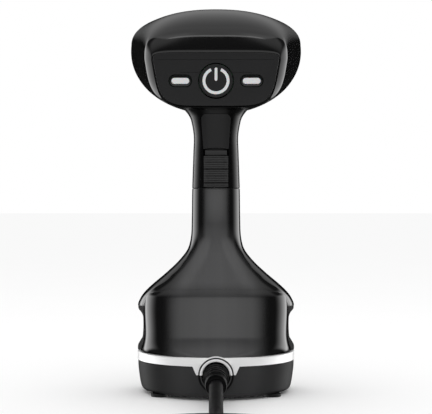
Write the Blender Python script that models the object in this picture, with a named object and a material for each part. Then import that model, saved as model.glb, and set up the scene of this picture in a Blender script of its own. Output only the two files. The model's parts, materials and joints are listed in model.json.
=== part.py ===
"""Hand-held garment steamer standing on its base.

+Z is up, -Y is the side that faces the user (control panel and mains cord), +Y is the side
with the steam plate. The origin is on the floor, in the middle of the footprint. All sizes
are in metres.
"""

import math

import bmesh
import bpy
from mathutils import Matrix, Vector

# Driving dimensions -------------------------------------------------------------------

GAP = 0.0003            # clearance left between touching pieces
SHELL = 0.0025          # wall of the moulded covers

BASE_HALF_WIDTH = 0.0655
BASE_REAR = -0.050
BASE_FRONT = 0.050
BASE_WAIST = 0.012      # y of the base's widest line
FOOT_RADIUS = 0.0072
FOOT_HEIGHT = 0.0026
BASE_BOTTOM = 0.0029
BAND_BOTTOM = 0.0275
BAND_TOP = 0.0345

WALL_BOTTOM = BAND_TOP + GAP
WALL_HALF_WIDTH = 0.059
WALL_REAR = -0.044
SKIRT_BOTTOM = 0.073
CREASE = 0.0865         # height where the rear wall runs into the shoulder
SHELL_SPLIT = 0.006     # y of the joint between the rear shell and the front pieces
SEAM = 0.1695           # height of the joint between the lower and the upper handle
HANDLE_TOP = 0.243

HEAD_REAR = -0.046      # y of the rim round the control panel
HEAD_WIDEST = 0.020     # y of the head's largest section
HEAD_SHELL_FRONT = 0.027
BEZEL_FRONT = 0.045
PLATE_FRONT = 0.0515

BUTTON_CENTRE = 0.254   # height of the power button and of both lamps
BUTTON_RADIUS = 0.0137
LAMP_OFFSET = 0.0283
OUTLET_CENTRE = 0.0208  # height of the cord outlet
OUTLET_RADIUS = 0.0141
RING_BORE = 0.0108      # inside of the ring round the cord outlet

CORD_DIAMETER = 0.0105
COIL_RADIUS = 0.0575    # radius of the coil's middle turn
COIL_CENTRE = -0.305
COIL_HALF_WIDTH = 0.0210
COIL_BOTTOM = 0.0016
COIL_TOP = 0.0218
PLUG_X = 0.020          # x of the plug body's middle
PLUG_HALF_HEIGHT = 0.0068

# Cord from the strain relief's collar to the outside of the coil.
CORD_ROUTE = [
    (0.000, -0.0908, 0.0180),
    (0.000, -0.100, 0.0173),
    (0.000, -0.117, 0.0142),
    (0.000, -0.137, 0.0089),
    (0.000, -0.160, 0.0057),
    (-0.002, -0.185, 0.0056),
    (-0.008, -0.205, 0.0056),
    (-0.019, -0.2255, 0.0056),
]

# Materials ----------------------------------------------------------------------------


def material(name, colour, roughness, metallic):
    made = bpy.data.materials.new(name)
    made.use_nodes = True
    shader = made.node_tree.nodes["Principled BSDF"]
    shader.inputs["Base Color"].default_value = (*colour, 1.0)
    shader.inputs["Roughness"].default_value = roughness
    shader.inputs["Metallic"].default_value = metallic
    return made


LOOKS = {
    "gloss_black": ((0.012, 0.012, 0.013), 0.12, 0.0),
    "satin_black": ((0.030, 0.030, 0.031), 0.42, 0.0),
    "matte_black": ((0.035, 0.035, 0.036), 0.60, 0.0),
    "panel_grey": ((0.060, 0.060, 0.062), 0.48, 0.0),
    "smoked_clear": ((0.020, 0.020, 0.022), 0.10, 0.0),
    "rubber": ((0.028, 0.028, 0.028), 0.75, 0.0),
    "bright_trim": ((0.80, 0.80, 0.81), 0.28, 1.0),
    "white_lens": ((0.92, 0.93, 0.94), 0.35, 0.0),
    "plate_steel": ((0.62, 0.63, 0.65), 0.25, 1.0),
    "cast_aluminium": ((0.55, 0.56, 0.57), 0.50, 1.0),
    "steel": ((0.45, 0.46, 0.48), 0.35, 1.0),
    "brass": ((0.72, 0.52, 0.22), 0.35, 1.0),
    "silicone": ((0.75, 0.76, 0.74), 0.50, 0.0),
    "circuit_green": ((0.03, 0.18, 0.08), 0.50, 0.0),
    "ivory_plastic": ((0.70, 0.69, 0.64), 0.45, 0.0),
}

# Outlines and sections -----------------------------------------------------------------


def power_of(value, exponent):
    return math.copysign(abs(value) ** exponent, value)


def between(value, stations):
    """Value of each column at `value`, eased through the stations' rows by a cubic."""
    keys = [row[0] for row in stations]
    value = min(max(value, keys[0]), keys[-1])
    i = max(k for k in range(len(keys) - 1) if keys[k] <= value)
    t = (value - keys[i]) / (keys[i + 1] - keys[i])
    step = keys[i + 1] - keys[i]
    found = []
    for column in range(1, len(stations[0])):
        slopes = []
        for k in (i, i + 1):
            low, high = max(k - 1, 0), min(k + 1, len(keys) - 1)
            slopes.append((stations[high][column] - stations[low][column]) / (keys[high] - keys[low]))
        a, b = stations[i][column], stations[i + 1][column]
        found.append(
            a * (1 + 2 * t) * (1 - t) ** 2
            + b * t * t * (3 - 2 * t)
            + step * (slopes[0] * t * (1 - t) ** 2 - slopes[1] * t * t * (1 - t))
        )
    return found


def plan_section(z, half_width, rear, front, waist, rear_power, front_power, count=32):
    """Level superellipse at height z whose rear and front halves have their own depth."""
    ring = []
    for i in range(count):
        angle = 2 * math.pi * i / count
        c, s = math.cos(angle), math.sin(angle)
        power = rear_power if s < 0 else front_power
        depth = waist - rear if s < 0 else front - waist
        x = half_width * power_of(c, 2 / power)
        ring.append(Vector((x, waist + depth * power_of(s, 2 / power), z)))
    return ring


def upright_section(y, half_width, widest, top, bottom, upper_power, lower_power, taper, count=36):
    """Upright superellipse at y, widest at height `widest` and narrowed towards its bottom."""
    ring = []
    for i in range(count):
        angle = 2 * math.pi * i / count
        c, s = math.cos(angle), math.sin(angle)
        power = lower_power if s < 0 else upper_power
        rise = power_of(s, 2 / power)
        narrowing = 1 + taper * min(rise, 0)
        height = top - widest if s > 0 else widest - bottom
        x = half_width * power_of(c, 2 / power) * narrowing
        ring.append(Vector((x, y, widest + height * rise)))
    return ring


def pill(half_length, radius, steps=6):
    """Flat outline with round ends, in X and Z about the origin."""
    outline = []
    for side, start in ((1, -90), (-1, 90)):
        for i in range(steps + 1):
            angle = math.radians(start + 180 * i / steps)
            x = (half_length - radius) * side + radius * math.cos(angle)
            outline.append((x, radius * math.sin(angle)))
    return outline


# Meshes ----------------------------------------------------------------------------------


def finish(name, bm, look):
    """Link a bmesh as an object: a visible piece with its own material, or a hidden cutter."""
    bmesh.ops.recalc_face_normals(bm, faces=bm.faces)
    mesh = bpy.data.meshes.new(name)
    bm.to_mesh(mesh)
    bm.free()
    mesh.shade_smooth()
    mesh.set_sharp_from_angle(angle=math.radians(35))
    made = bpy.data.objects.new(name, mesh)
    bpy.context.collection.objects.link(made)
    if look:
        colour, roughness, metallic = LOOKS[look]
        mesh.materials.append(material(name, colour, roughness, metallic))
    else:
        made.hide_render = True
        made.display_type = "WIRE"
    return made


def loft(rings, name="cutter", look=None, closed_path=False):
    """Skin a list of rings with equal counts of points, capped at both ends."""
    bm = bmesh.new()
    rows = [[bm.verts.new(p) for p in ring] for ring in rings]
    count = len(rows[0])
    pairs = list(zip(rows, rows[1:]))
    if closed_path:
        pairs.append((rows[-1], rows[0]))
    for low, high in pairs:
        for i in range(count):
            j = (i + 1) % count
            bm.faces.new((low[i], low[j], high[j], high[i]))
    if not closed_path:
        bm.faces.new(rows[0])
        bm.faces.new(rows[-1])
    return finish(name, bm, look)


def box(low, high, name="cutter", look=None):
    corners = [(low[0], low[1]), (high[0], low[1]), (high[0], high[1]), (low[0], high[1])]
    rings = [[Vector((x, y, z)) for x, y in corners] for z in (low[2], high[2])]
    return loft(rings, name, look)


def prism(outline, low, high, name="cutter", look=None, centre=(0.0, 0.0)):
    """Outline in X and Z, extruded along Y from low to high."""
    rings = [[Vector((x + centre[0], y, z + centre[1])) for x, z in outline] for y in (low, high)]
    return loft(rings, name, look)


def turned(profile, origin, axis, name="cutter", look=None, count=20):
    """Turn (distance along the axis, radius) pairs about an axis through the origin."""
    turn = Vector((0, 0, 1)).rotation_difference(Vector(axis)).to_matrix()
    rings = []
    for along, radius in profile:
        ring = []
        for i in range(count):
            angle = 2 * math.pi * i / count
            spoke = Vector((radius * math.cos(angle), radius * math.sin(angle), along))
            ring.append(Vector(origin) + turn @ spoke)
        rings.append(ring)
    return loft(rings, name, look)


def tube(points, radius, name, look, resolution=2):
    """Round tube with filled ends through the given points."""
    curve = bpy.data.curves.new(name, "CURVE")
    curve.dimensions = "3D"
    curve.bevel_depth = radius
    curve.bevel_resolution = resolution
    curve.use_fill_caps = True
    line = curve.splines.new("POLY")
    line.points.add(len(points) - 1)
    for place, point in zip(line.points, points):
        place.co = (*point, 1.0)
    colour, roughness, metallic = LOOKS[look]
    curve.materials.append(material(name, colour, roughness, metallic))
    made = bpy.data.objects.new(name, curve)
    bpy.context.collection.objects.link(made)
    return made


def smooth_path(route, spacing):
    """Points at about the given spacing on a smooth curve through the route's points."""
    route = [Vector(p) for p in route]
    padded = [2 * route[0] - route[1]] + route + [2 * route[-1] - route[-2]]
    dense = []
    for a, b, c, d in zip(padded, padded[1:], padded[2:], padded[3:]):
        for step in range(12):
            t = step / 12
            bend = (2 * a - 5 * b + 4 * c - d) * t * t
            twist = (3 * b - a - 3 * c + d) * t**3
            dense.append(0.5 * (2 * b + (c - a) * t + bend + twist))
    dense.append(route[-1])
    lengths = [0.0]
    for a, b in zip(dense, dense[1:]):
        lengths.append(lengths[-1] + (b - a).length)
    count = max(2, round(lengths[-1] / spacing))
    points = []
    for n in range(count + 1):
        want = lengths[-1] * n / count
        i = min(k for k in range(1, len(dense)) if lengths[k] >= want - 1e-9)
        t = (want - lengths[i - 1]) / (lengths[i] - lengths[i - 1])
        points.append(dense[i - 1].lerp(dense[i], t))
    return points


def boolean(target, operation, cutter):
    change = target.modifiers.new(cutter.name, "BOOLEAN")
    change.operation = operation
    change.object = cutter
    change.solver = "EXACT"
    return target


def cut(target, *cutters):
    for cutter in cutters:
        boolean(target, "DIFFERENCE", cutter)
    return target


def keep(target, *guides):
    for guide in guides:
        boolean(target, "INTERSECT", guide)
    return target


def join(target, *extras):
    for extra in extras:
        boolean(target, "UNION", extra)
    return target


def pivot(target, point):
    """Move an object's origin to a point without moving its shape."""
    target.data.transform(Matrix.Translation(-Vector(point)))
    target.location = point
    return target


def attach(child, parent):
    child.parent = parent
    child.location = child.location - parent.location


# Base -------------------------------------------------------------------------------------

# height, half width, distance in from the rear and front faces
BASE_STATIONS = [
    (BASE_BOTTOM, 0.0610, 0.0035),
    (0.0045, 0.0624, 0.0022),
    (0.0094, 0.0637, 0.0012),
    (0.0160, 0.0647, 0.0005),
    (0.0227, 0.0654, 0.0001),
    (BAND_TOP, BASE_HALF_WIDTH, 0.0),
]


def base_ring(z, inset=0.0):
    half_width, step = between(z, BASE_STATIONS)
    return plan_section(
        z,
        half_width - inset,
        BASE_REAR + step + inset,
        BASE_FRONT - step - inset,
        BASE_WAIST,
        2.05,
        3.6,
    )


def base_loft(levels, inset, name="cutter", look=None):
    return loft([base_ring(z, inset) for z in levels], name, look)


def tab_outline(margin):
    """Trapezoid below the trim band, round the cord outlet."""
    return [
        (-0.0187 - margin, BAND_BOTTOM + 0.02),
        (-0.0187 - margin, BAND_BOTTOM),
        (-0.0157 - margin, OUTLET_CENTRE - margin),
        (0.0157 + margin, OUTLET_CENTRE - margin),
        (0.0187 + margin, BAND_BOTTOM),
        (0.0187 + margin, BAND_BOTTOM + 0.02),
    ]


def outlet_bore(radius):
    return turned([(0, radius), (0.03, radius)], (0, -0.062, OUTLET_CENTRE), (0, 1, 0), count=32)


def make_base():
    housing_top = BAND_BOTTOM - GAP
    levels = [BASE_BOTTOM, 0.0045, 0.0094, 0.0160, 0.0227, housing_top]
    housing = base_loft(levels, 0.0004, "base_housing", "satin_black")
    hollow = base_loft([BASE_BOTTOM - 0.002, 0.0094, 0.0227, housing_top + 0.002], 0.0034)
    notch = prism(tab_outline(GAP), -0.07, -0.02)
    cut(housing, hollow, notch, outlet_bore(OUTLET_RADIUS))

    band = base_loft([OUTLET_CENTRE, 0.0227, BAND_BOTTOM, BAND_TOP], 0.0, "trim_band", "bright_trim")
    band_hollow = base_loft([OUTLET_CENTRE - 0.002, 0.0227, BAND_BOTTOM, BAND_TOP + 0.002], 0.0024)
    below_band = [
        (-0.08, 0.01),
        (-0.08, BAND_BOTTOM),
        (-0.0187, BAND_BOTTOM),
        (-0.0157, OUTLET_CENTRE + 0.0002),
        (0.0157, OUTLET_CENTRE + 0.0002),
        (0.0187, BAND_BOTTOM),
        (0.08, BAND_BOTTOM),
        (0.08, 0.01),
    ]
    cut(band, band_hollow, prism(below_band, -0.07, 0.0))
    cut(band, box((-0.08, -0.0005, 0.01), (0.08, 0.08, BAND_BOTTOM)), outlet_bore(OUTLET_RADIUS))

    deck = base_loft([0.0300, 0.0342], 0.0030, "base_deck", "satin_black")
    hose_hole = turned([(0, 0.0034), (0.02, 0.0034)], (0.020, -0.0378, 0.022), (0, 0, 1), count=16)
    inlet_hole = turned([(0, 0.0034), (0.02, 0.0034)], (-0.022, -0.0384, 0.022), (0, 0, 1), count=16)
    cut(deck, hose_hole, inlet_hole, outlet_bore(OUTLET_RADIUS))

    base_loft([BASE_BOTTOM, 0.0052], 0.0042, "bottom_cover", "satin_black")
    foot = [(0, FOOT_RADIUS - 0.0006), (0.0006, FOOT_RADIUS), (FOOT_HEIGHT, FOOT_RADIUS)]
    for i, (x, y) in enumerate(corner_places(0.046, -0.021, 0.031)):
        turned(foot, (x, y, 0), (0, 0, 1), f"foot_{i + 1}", "rubber")
    head = [(0, 0.0022), (0.0009, 0.0030), (0.0011, 0.0030)]
    for i, (x, y) in enumerate(corner_places(0.030, -0.012, 0.022)):
        turned(head, (x, y, 0.0015), (0, 0, 1), f"bottom_screw_{i + 1}", "steel", 14)


def corner_places(x, rear, front):
    return [(-x, rear), (x, rear), (-x, front), (x, front)]


def make_outlet():
    """Bright upper half and black lower half of the ring round the cord, and its ribbed boot."""
    ring = [(0, 0.0137), (0.0062, 0.0137), (0.0066, 0.0133)]
    ring_back = (0, -0.0449, OUTLET_CENTRE)
    upper = turned(ring, ring_back, (0, -1, 0), "outlet_trim_upper", "bright_trim", 40)
    lower = turned(ring, ring_back, (0, -1, 0), "outlet_ring_lower", "gloss_black", 40)
    cut(upper, outlet_bore(RING_BORE), box((-0.03, -0.07, 0.0), (0.03, -0.03, OUTLET_CENTRE + GAP / 2)))
    cut(lower, outlet_bore(RING_BORE), box((-0.03, -0.07, OUTLET_CENTRE - GAP / 2), (0.03, -0.03, 0.05)))
    start = Vector((0, -0.0446, OUTLET_CENTRE))
    end = Vector((0, -0.0902, 0.0180))
    profile = [(0.0, 0.0101), (0.17, 0.0101)]
    ribs = 5
    for i in range(ribs):
        along = 0.17 + 0.66 * i / ribs
        radius = 0.0102 - 0.0020 * i / ribs
        groove = radius - 0.0012
        profile += [(along + 0.015, groove), (along + 0.055, groove)]
        profile += [(along + 0.07, radius), (along + 0.125, radius)]
    profile += [(0.86, 0.0076), (0.88, 0.0084), (0.99, 0.0083), (1.0, 0.0079)]
    axis = end - start
    turned([(a * axis.length, r) for a, r in profile], start, axis.normalized(), "cord_boot", "rubber")
    box((-0.011, -0.0430, 0.0100), (0.011, -0.0375, 0.0270), "cord_clamp", "ivory_plastic")


HOSE_RADIUS = 0.0026


def make_pump():
    motor = [(0, 0.0105), (0.030, 0.0105), (0.0304, 0.008), (0.044, 0.008)]
    turned(motor, (-0.004, 0.006, 0.0178), (1, 0, 0), "pump", "ivory_plastic")
    box((-0.052, -0.012, 0.0080), (-0.012, 0.028, 0.0096), "power_board", "circuit_green")
    inlet = [
        (-0.022, -0.0384, 0.0372),
        (-0.022, -0.0384, 0.030),
        (-0.021, -0.034, 0.0225),
        (-0.012, -0.022, 0.0188),
        (0.000, -0.013, 0.0180),
        (0.004, -0.0056, 0.0178),
    ]
    tube(smooth_path(inlet, 0.006), HOSE_RADIUS, "inlet_hose", "silicone")
    riser = [
        (0.016, -0.0052, 0.0178),
        (0.019, -0.024, 0.0190),
        (0.020, -0.0350, 0.0245),
        (0.020, -0.0378, 0.034),
        (0.020, -0.0378, 0.055),
        (0.018, -0.0374, 0.074),
        (0.012, -0.033, 0.089),
        (0.006, -0.024, 0.103),
        (0.002, -0.016, 0.118),
        (0.000, -0.0105, 0.135),
        (0.000, -0.009, 0.165),
        (0.000, -0.009, 0.230),
        (0.000, -0.0065, 0.250),
        (0.000, 0.000, 0.260),
        (0.000, 0.0060, 0.2625),
        (0.000, 0.0122, 0.2625),
    ]
    tube(smooth_path(riser, 0.008), HOSE_RADIUS, "riser_hose", "silicone")


# Lower body, with the tank ------------------------------------------------------------------

# height, half width, rear, front, rear power, front power
HANDLE_STATIONS = [
    (SKIRT_BOTTOM, 0.0647, -0.0400, 0.0480, 2.4, 3.6),
    (0.0760, 0.0639, -0.0412, 0.0475, 2.7, 3.6),
    (0.0824, 0.0602, -0.0433, 0.0455, 3.5, 3.6),
    (0.0890, 0.0537, -0.0416, 0.0410, 4.4, 3.6),
    (0.0990, 0.0419, -0.0369, 0.0345, 4.6, 3.4),
    (0.1090, 0.0313, -0.0322, 0.0285, 4.2, 3.0),
    (0.1190, 0.0236, -0.0275, 0.0240, 3.6, 2.7),
    (0.1290, 0.0208, -0.0230, 0.0215, 3.2, 2.5),
    (0.1420, 0.0201, -0.0204, 0.0205, 3.0, 2.4),
    (SEAM, 0.0197, -0.0200, 0.0200, 3.0, 2.4),
    (0.2000, 0.0187, -0.0196, 0.0200, 3.0, 2.4),
    (0.2120, 0.0184, -0.0196, 0.0200, 3.0, 2.4),
    (0.2220, 0.0198, -0.0200, 0.0205, 3.0, 2.4),
    (0.2290, 0.0220, -0.0208, 0.0215, 2.8, 2.4),
    (0.2360, 0.0275, -0.0228, 0.0230, 2.6, 2.4),
    (HANDLE_TOP, 0.0350, -0.0260, 0.0250, 2.6, 2.4),
]
SHOULDER_LEVELS = [SKIRT_BOTTOM, 0.0760, 0.0824, 0.0890, 0.0990, 0.1090, 0.1190, 0.1290, 0.1420, SEAM - GAP]
GRIP_LEVELS = [SEAM, 0.185, 0.2000, 0.2120, 0.2220, 0.2290, 0.2360, HANDLE_TOP]


def handle_ring(z, inset=0.0):
    half_width, rear, front, rear_power, front_power = between(z, HANDLE_STATIONS)
    return plan_section(z, half_width - inset, rear + inset, front - inset, 0.0, rear_power, front_power)


def handle_loft(levels, inset, name="cutter", look=None):
    return loft([handle_ring(z, inset) for z in levels], name, look)


# height, half width, rear, rear power
WALL_STATIONS = [
    (WALL_BOTTOM, 0.0630, -0.0482, 2.3),
    (0.0380, 0.0621, -0.0470, 3.0),
    (0.0420, 0.0606, -0.0456, 3.7),
    (0.0460, 0.0595, -0.0446, 4.2),
    (0.0510, WALL_HALF_WIDTH, WALL_REAR, 4.4),
    (0.0820, WALL_HALF_WIDTH, WALL_REAR, 4.4),
    (0.0880, 0.0535, -0.0426, 4.4),
]


def wall_ring(z, inset=0.0):
    half_width, rear, rear_power = between(z, WALL_STATIONS)
    return plan_section(z, half_width - inset, rear + inset, 0.040 - inset, SHELL_SPLIT, rear_power, 4.0)


def cavity_ring(z):
    """Inside of the lower body: the wall's inside, narrowed under the shoulder and neck."""
    if z < SKIRT_BOTTOM:
        return wall_ring(z, SHELL)
    half_width, rear, front, rear_power, front_power = between(z, HANDLE_STATIONS)
    inset = 0.0045 if z < 0.115 else 0.003
    half_width = min(half_width - inset, WALL_HALF_WIDTH - SHELL)
    rear = WALL_REAR + SHELL if z < CREASE else rear + inset
    return plan_section(z, half_width, rear, front - inset, 0.0, rear_power, front_power)


def lower_cavity():
    levels = [0.078, 0.0824, CREASE - 0.0005, 0.0895, 0.0990, 0.1090, 0.1190, 0.1290, 0.1420, SEAM + 0.002]
    return loft([cavity_ring(z) for z in levels])


def make_lower_shells():
    wall_levels = [WALL_BOTTOM, 0.0380, 0.0420, 0.0460, 0.0510, 0.0820, 0.0880]
    rear_shell = handle_loft(SHOULDER_LEVELS, 0.0, "rear_shell", "gloss_black")
    join(rear_shell, loft([wall_ring(z) for z in wall_levels]))
    wall_room = loft([wall_ring(z, SHELL) for z in (WALL_BOTTOM - 0.004, 0.0380, 0.0420, 0.0510, 0.0785)])
    cut(rear_shell, lower_cavity(), wall_room)
    cut(rear_shell, box((-0.09, SHELL_SPLIT, 0.02), (0.09, 0.09, 0.2)))

    front_shell = handle_loft(SHOULDER_LEVELS, 0.0, "front_shell", "gloss_black")
    cut(front_shell, lower_cavity(), box((-0.055, -0.06, 0.06), (0.055, 0.0425, 0.0785)))
    cut(front_shell, box((-0.09, -0.09, 0.02), (0.09, SHELL_SPLIT + GAP, 0.2)))


TANK_BOTTOM = 0.0350
TANK_TOP = SKIRT_BOTTOM - GAP
TANK_REAR = -0.0340
TANK_WALL = 0.0026
FILLER_CENTRE = 0.0575
FILLER_RADIUS = 0.0085
CAP_BACK = 0.0470
CAP_HINGE = FILLER_CENTRE - 0.0105
VALVE_X = -0.022
VALVE_HEIGHT = 0.0440

# height, half width, front: shoulder, finger recess and flared foot
TANK_STATIONS = [
    (TANK_BOTTOM, 0.0652, 0.0492),
    (0.0393, 0.0650, 0.0490),
    (0.0430, 0.0630, 0.0478),
    (0.0465, 0.0612, 0.0465),
    (0.0620, 0.0608, 0.0462),
    (0.0660, 0.0622, 0.0468),
    (0.0692, 0.0646, 0.0478),
    (TANK_TOP, 0.0650, 0.0480),
]


def tank_ring(z, inset=0.0):
    half_width, front = between(z, TANK_STATIONS)
    return plan_section(z, half_width - inset, -0.030, front - inset, 0.004, 6.0, 3.6)


def tank_rear_ring(z, inset=0.0):
    """Narrower part of the tank, which slides in between the rear shell's walls."""
    return plan_section(z, 0.0525 - inset, TANK_REAR + inset, 0.0200, SHELL_SPLIT, 5.0, 4.0)


def make_tank():
    levels = [row[0] for row in TANK_STATIONS]
    tank = loft([tank_ring(z) for z in levels], "water_tank", "smoked_clear")
    cut(tank, box((-0.09, -0.09, 0.02), (0.09, SHELL_SPLIT + GAP, 0.1)))
    join(tank, loft([tank_rear_ring(z) for z in (TANK_BOTTOM, 0.0700)]))
    inside = loft([tank_ring(z, TANK_WALL) for z in (0.0376, 0.0430, 0.0465, 0.0620, 0.0692, 0.0704)])
    cut(inside, box((-0.09, -0.09, 0.02), (0.09, SHELL_SPLIT + TANK_WALL, 0.1)))
    join(inside, loft([tank_rear_ring(z, TANK_WALL) for z in (TANK_BOTTOM + TANK_WALL, 0.0676)]))
    join(inside, turned([(0, 0.0068), (0.02, 0.0068)], (0, 0.035, FILLER_CENTRE), (0, 1, 0), count=24))
    cut(tank, inside)

    disc = [(0, FILLER_RADIUS), (0.0016, FILLER_RADIUS), (0.0024, FILLER_RADIUS - 0.0008)]
    cap = turned(disc, (0, CAP_BACK, FILLER_CENTRE), (0, 1, 0), "filler_cap", "rubber", 24)
    join(cap, turned([(0, 0.0058), (0.004, 0.0058)], (0, CAP_BACK - 0.0035, FILLER_CENTRE), (0, 1, 0)))
    join(cap, box((-0.004, CAP_BACK, CAP_HINGE), (0.004, CAP_BACK + 0.0016, FILLER_CENTRE - 0.006)))
    pivot(cap, (0, CAP_BACK + 0.0008, CAP_HINGE))
    attach(cap, tank)

    outlet = [(0, 0.0030), (0.0050, 0.0030), (0.0056, 0.0024)]
    nozzle_root = (VALVE_X, TANK_REAR - GAP, VALVE_HEIGHT)
    nozzle = turned(outlet, nozzle_root, (0, -1, 0), "tank_nozzle", "ivory_plastic", 16)
    attach(nozzle, tank)
    socket_front = (VALVE_X, TANK_REAR - 0.001, VALVE_HEIGHT)
    socket = turned([(0, 0.0062), (0.0062, 0.0062)], socket_front, (0, -1, 0), "valve_socket", "rubber")
    cut(socket, turned([(-0.001, 0.0036), (0.0058, 0.0036)], socket_front, (0, -1, 0), count=16))


# Upper handle ---------------------------------------------------------------------------------

GRIP_WALL = 0.0032
STRIP_DEPTH = 0.0015
RIB_COUNT = 5
RIB_TOP = 0.1961
RIB_PITCH = 0.00535
TRIGGER_PIVOT = (0.0, 0.0130, 0.2240)


def strip_outline(margin=0.0):
    """Long rear strip, wider and round-shouldered at its top."""
    half_top, half_bottom, top, bottom, corner = 0.0121, 0.0103, 0.2297, 0.2012, 0.004
    points = [(-half_bottom - margin, bottom - margin), (half_bottom + margin, bottom - margin)]
    for side in (1, -1):
        arc = []
        for i in range(5):
            angle = math.radians(90 * i / 4)
            x = half_top - corner + (corner + margin) * math.cos(angle)
            arc.append((side * x, top - corner + (corner + margin) * math.sin(angle)))
        points += arc if side > 0 else arc[::-1]
    return points


def rib_outline(margin=0.0):
    """Ribbed insert below the strip, stepped in at its top."""
    top, step, bottom = 0.2003, 0.1957, 0.1706
    half, narrow = 0.0100 + margin, 0.0089 + margin
    return [
        (-half, bottom - margin),
        (half, bottom - margin),
        (half, step + margin),
        (narrow, step + margin),
        (narrow, top + margin),
        (-narrow, top + margin),
        (-narrow, step + margin),
        (-half, step + margin),
    ]


def make_handle():
    cavity_levels = [SEAM - 0.002, 0.185, 0.2000, 0.2120, 0.2220, 0.2290, 0.2360, HANDLE_TOP + 0.002]

    rear = handle_loft(GRIP_LEVELS, 0.0, "handle_rear_shell", "gloss_black")
    cut(rear, handle_loft(cavity_levels, GRIP_WALL))
    cut(rear, box((-0.05, -GAP / 2, 0.1), (0.05, 0.05, 0.3)))
    for outline in (strip_outline, rib_outline):
        pocket = prism(outline(GAP), -0.04, -0.005)
        cut(pocket, handle_loft(cavity_levels, STRIP_DEPTH + GAP))
        cut(rear, pocket)

    strip = prism(strip_outline(), -0.04, -0.005, "grip_strip", "matte_black")
    cut(keep(strip, handle_loft(cavity_levels, 0.0)), handle_loft(cavity_levels, STRIP_DEPTH))
    insert = prism(rib_outline(), -0.04, -0.005, "ribbed_insert", "rubber")
    cut(keep(insert, handle_loft(cavity_levels, 0.0)), handle_loft(cavity_levels, STRIP_DEPTH))
    for i in range(RIB_COUNT):
        z = RIB_TOP - RIB_PITCH * i
        cut(insert, box((-0.0085, -0.03, z - 0.0004), (0.0085, -0.0188, z + 0.0004)))

    front = handle_loft(GRIP_LEVELS, 0.0, "handle_front_shell", "gloss_black")
    cut(front, handle_loft(cavity_levels, GRIP_WALL))
    cut(front, box((-0.05, -0.05, 0.1), (0.05, GAP / 2, 0.3)))
    cut(front, box((-0.0075, 0.005, 0.1825), (0.0075, 0.05, 0.2305)))
    cut(front, box((-0.0034, 0.005, 0.1724), (0.0034, 0.05, 0.1804)))
    pin_bore = turned([(0, 0.0018), (0.0316, 0.0018)], (-0.0158, *TRIGGER_PIVOT[1:]), (1, 0, 0), count=12)
    cut(front, pin_bore)
    pin_end = (-0.0153, *TRIGGER_PIVOT[1:])
    turned([(0, 0.0015), (0.0306, 0.0015)], pin_end, (1, 0, 0), "trigger_pin", "steel", 12)

    side = [
        (0.0100, 0.2285),
        (0.0195, 0.2290),
        (0.0240, 0.2270),
        (0.0258, 0.2220),
        (0.0262, 0.2080),
        (0.0275, 0.1950),
        (0.0290, 0.1880),
        (0.0270, 0.1845),
        (0.0120, 0.1855),
        (0.0105, 0.2000),
    ]
    rings = [[Vector((x, y, z)) for y, z in side] for x in (-0.0070, 0.0070)]
    trigger = loft(rings, "trigger", "satin_black")
    cut(trigger, turned([(0, 0.00175), (0.03, 0.00175)], (-0.015, *TRIGGER_PIVOT[1:]), (1, 0, 0), count=12))
    pivot(trigger, TRIGGER_PIVOT)
    box((-0.0050, -0.0015, 0.1960), (0.0050, 0.0062, 0.2100), "microswitch", "ivory_plastic")

    lock = box((-0.0060, 0.0205, 0.1712), (0.0060, 0.0232, 0.1775), "trigger_lock", "satin_black")
    join(lock, box((-0.0030, 0.0135, 0.1728), (0.0030, 0.0210, 0.1760)))
    pivot(lock, (0.0, 0.0205, 0.1744))


# Head -----------------------------------------------------------------------------------------


def head_ring(y, inset=0.0):
    """Section of the head at y, growing from the panel's rim to the oval and rounding off in front."""
    grown = min(max((y - HEAD_REAR) / (HEAD_WIDEST - HEAD_REAR), 0.0), 1.0)
    dome = math.sqrt(1 - (1 - grown) ** 2)
    corner = 1 - min(grown / 0.1, 1.0)
    flank = 0.2 * (1 - corner ** 1.6) + 0.8 * grown
    past = max((y - HEAD_SHELL_FRONT) / (BEZEL_FRONT + 0.004 - HEAD_SHELL_FRONT), 0.0)
    inset += 0.0085 * (1 - math.sqrt(max(1 - past * past, 0.0)))
    return upright_section(
        y,
        0.0515 + 0.0201 * flank - inset,
        0.2705 + 0.0201 * grown,
        0.2780 + 0.0420 * dome - inset,
        0.2328 + inset,
        5.5 - 3.3 * math.sqrt(dome),
        5.5 - 3.5 * dome,
        0.13 - 0.22 * grown,
    )


def head_loft(levels, inset, name="cutter", look=None):
    return loft([head_ring(y, inset) for y in levels], name, look)


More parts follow.
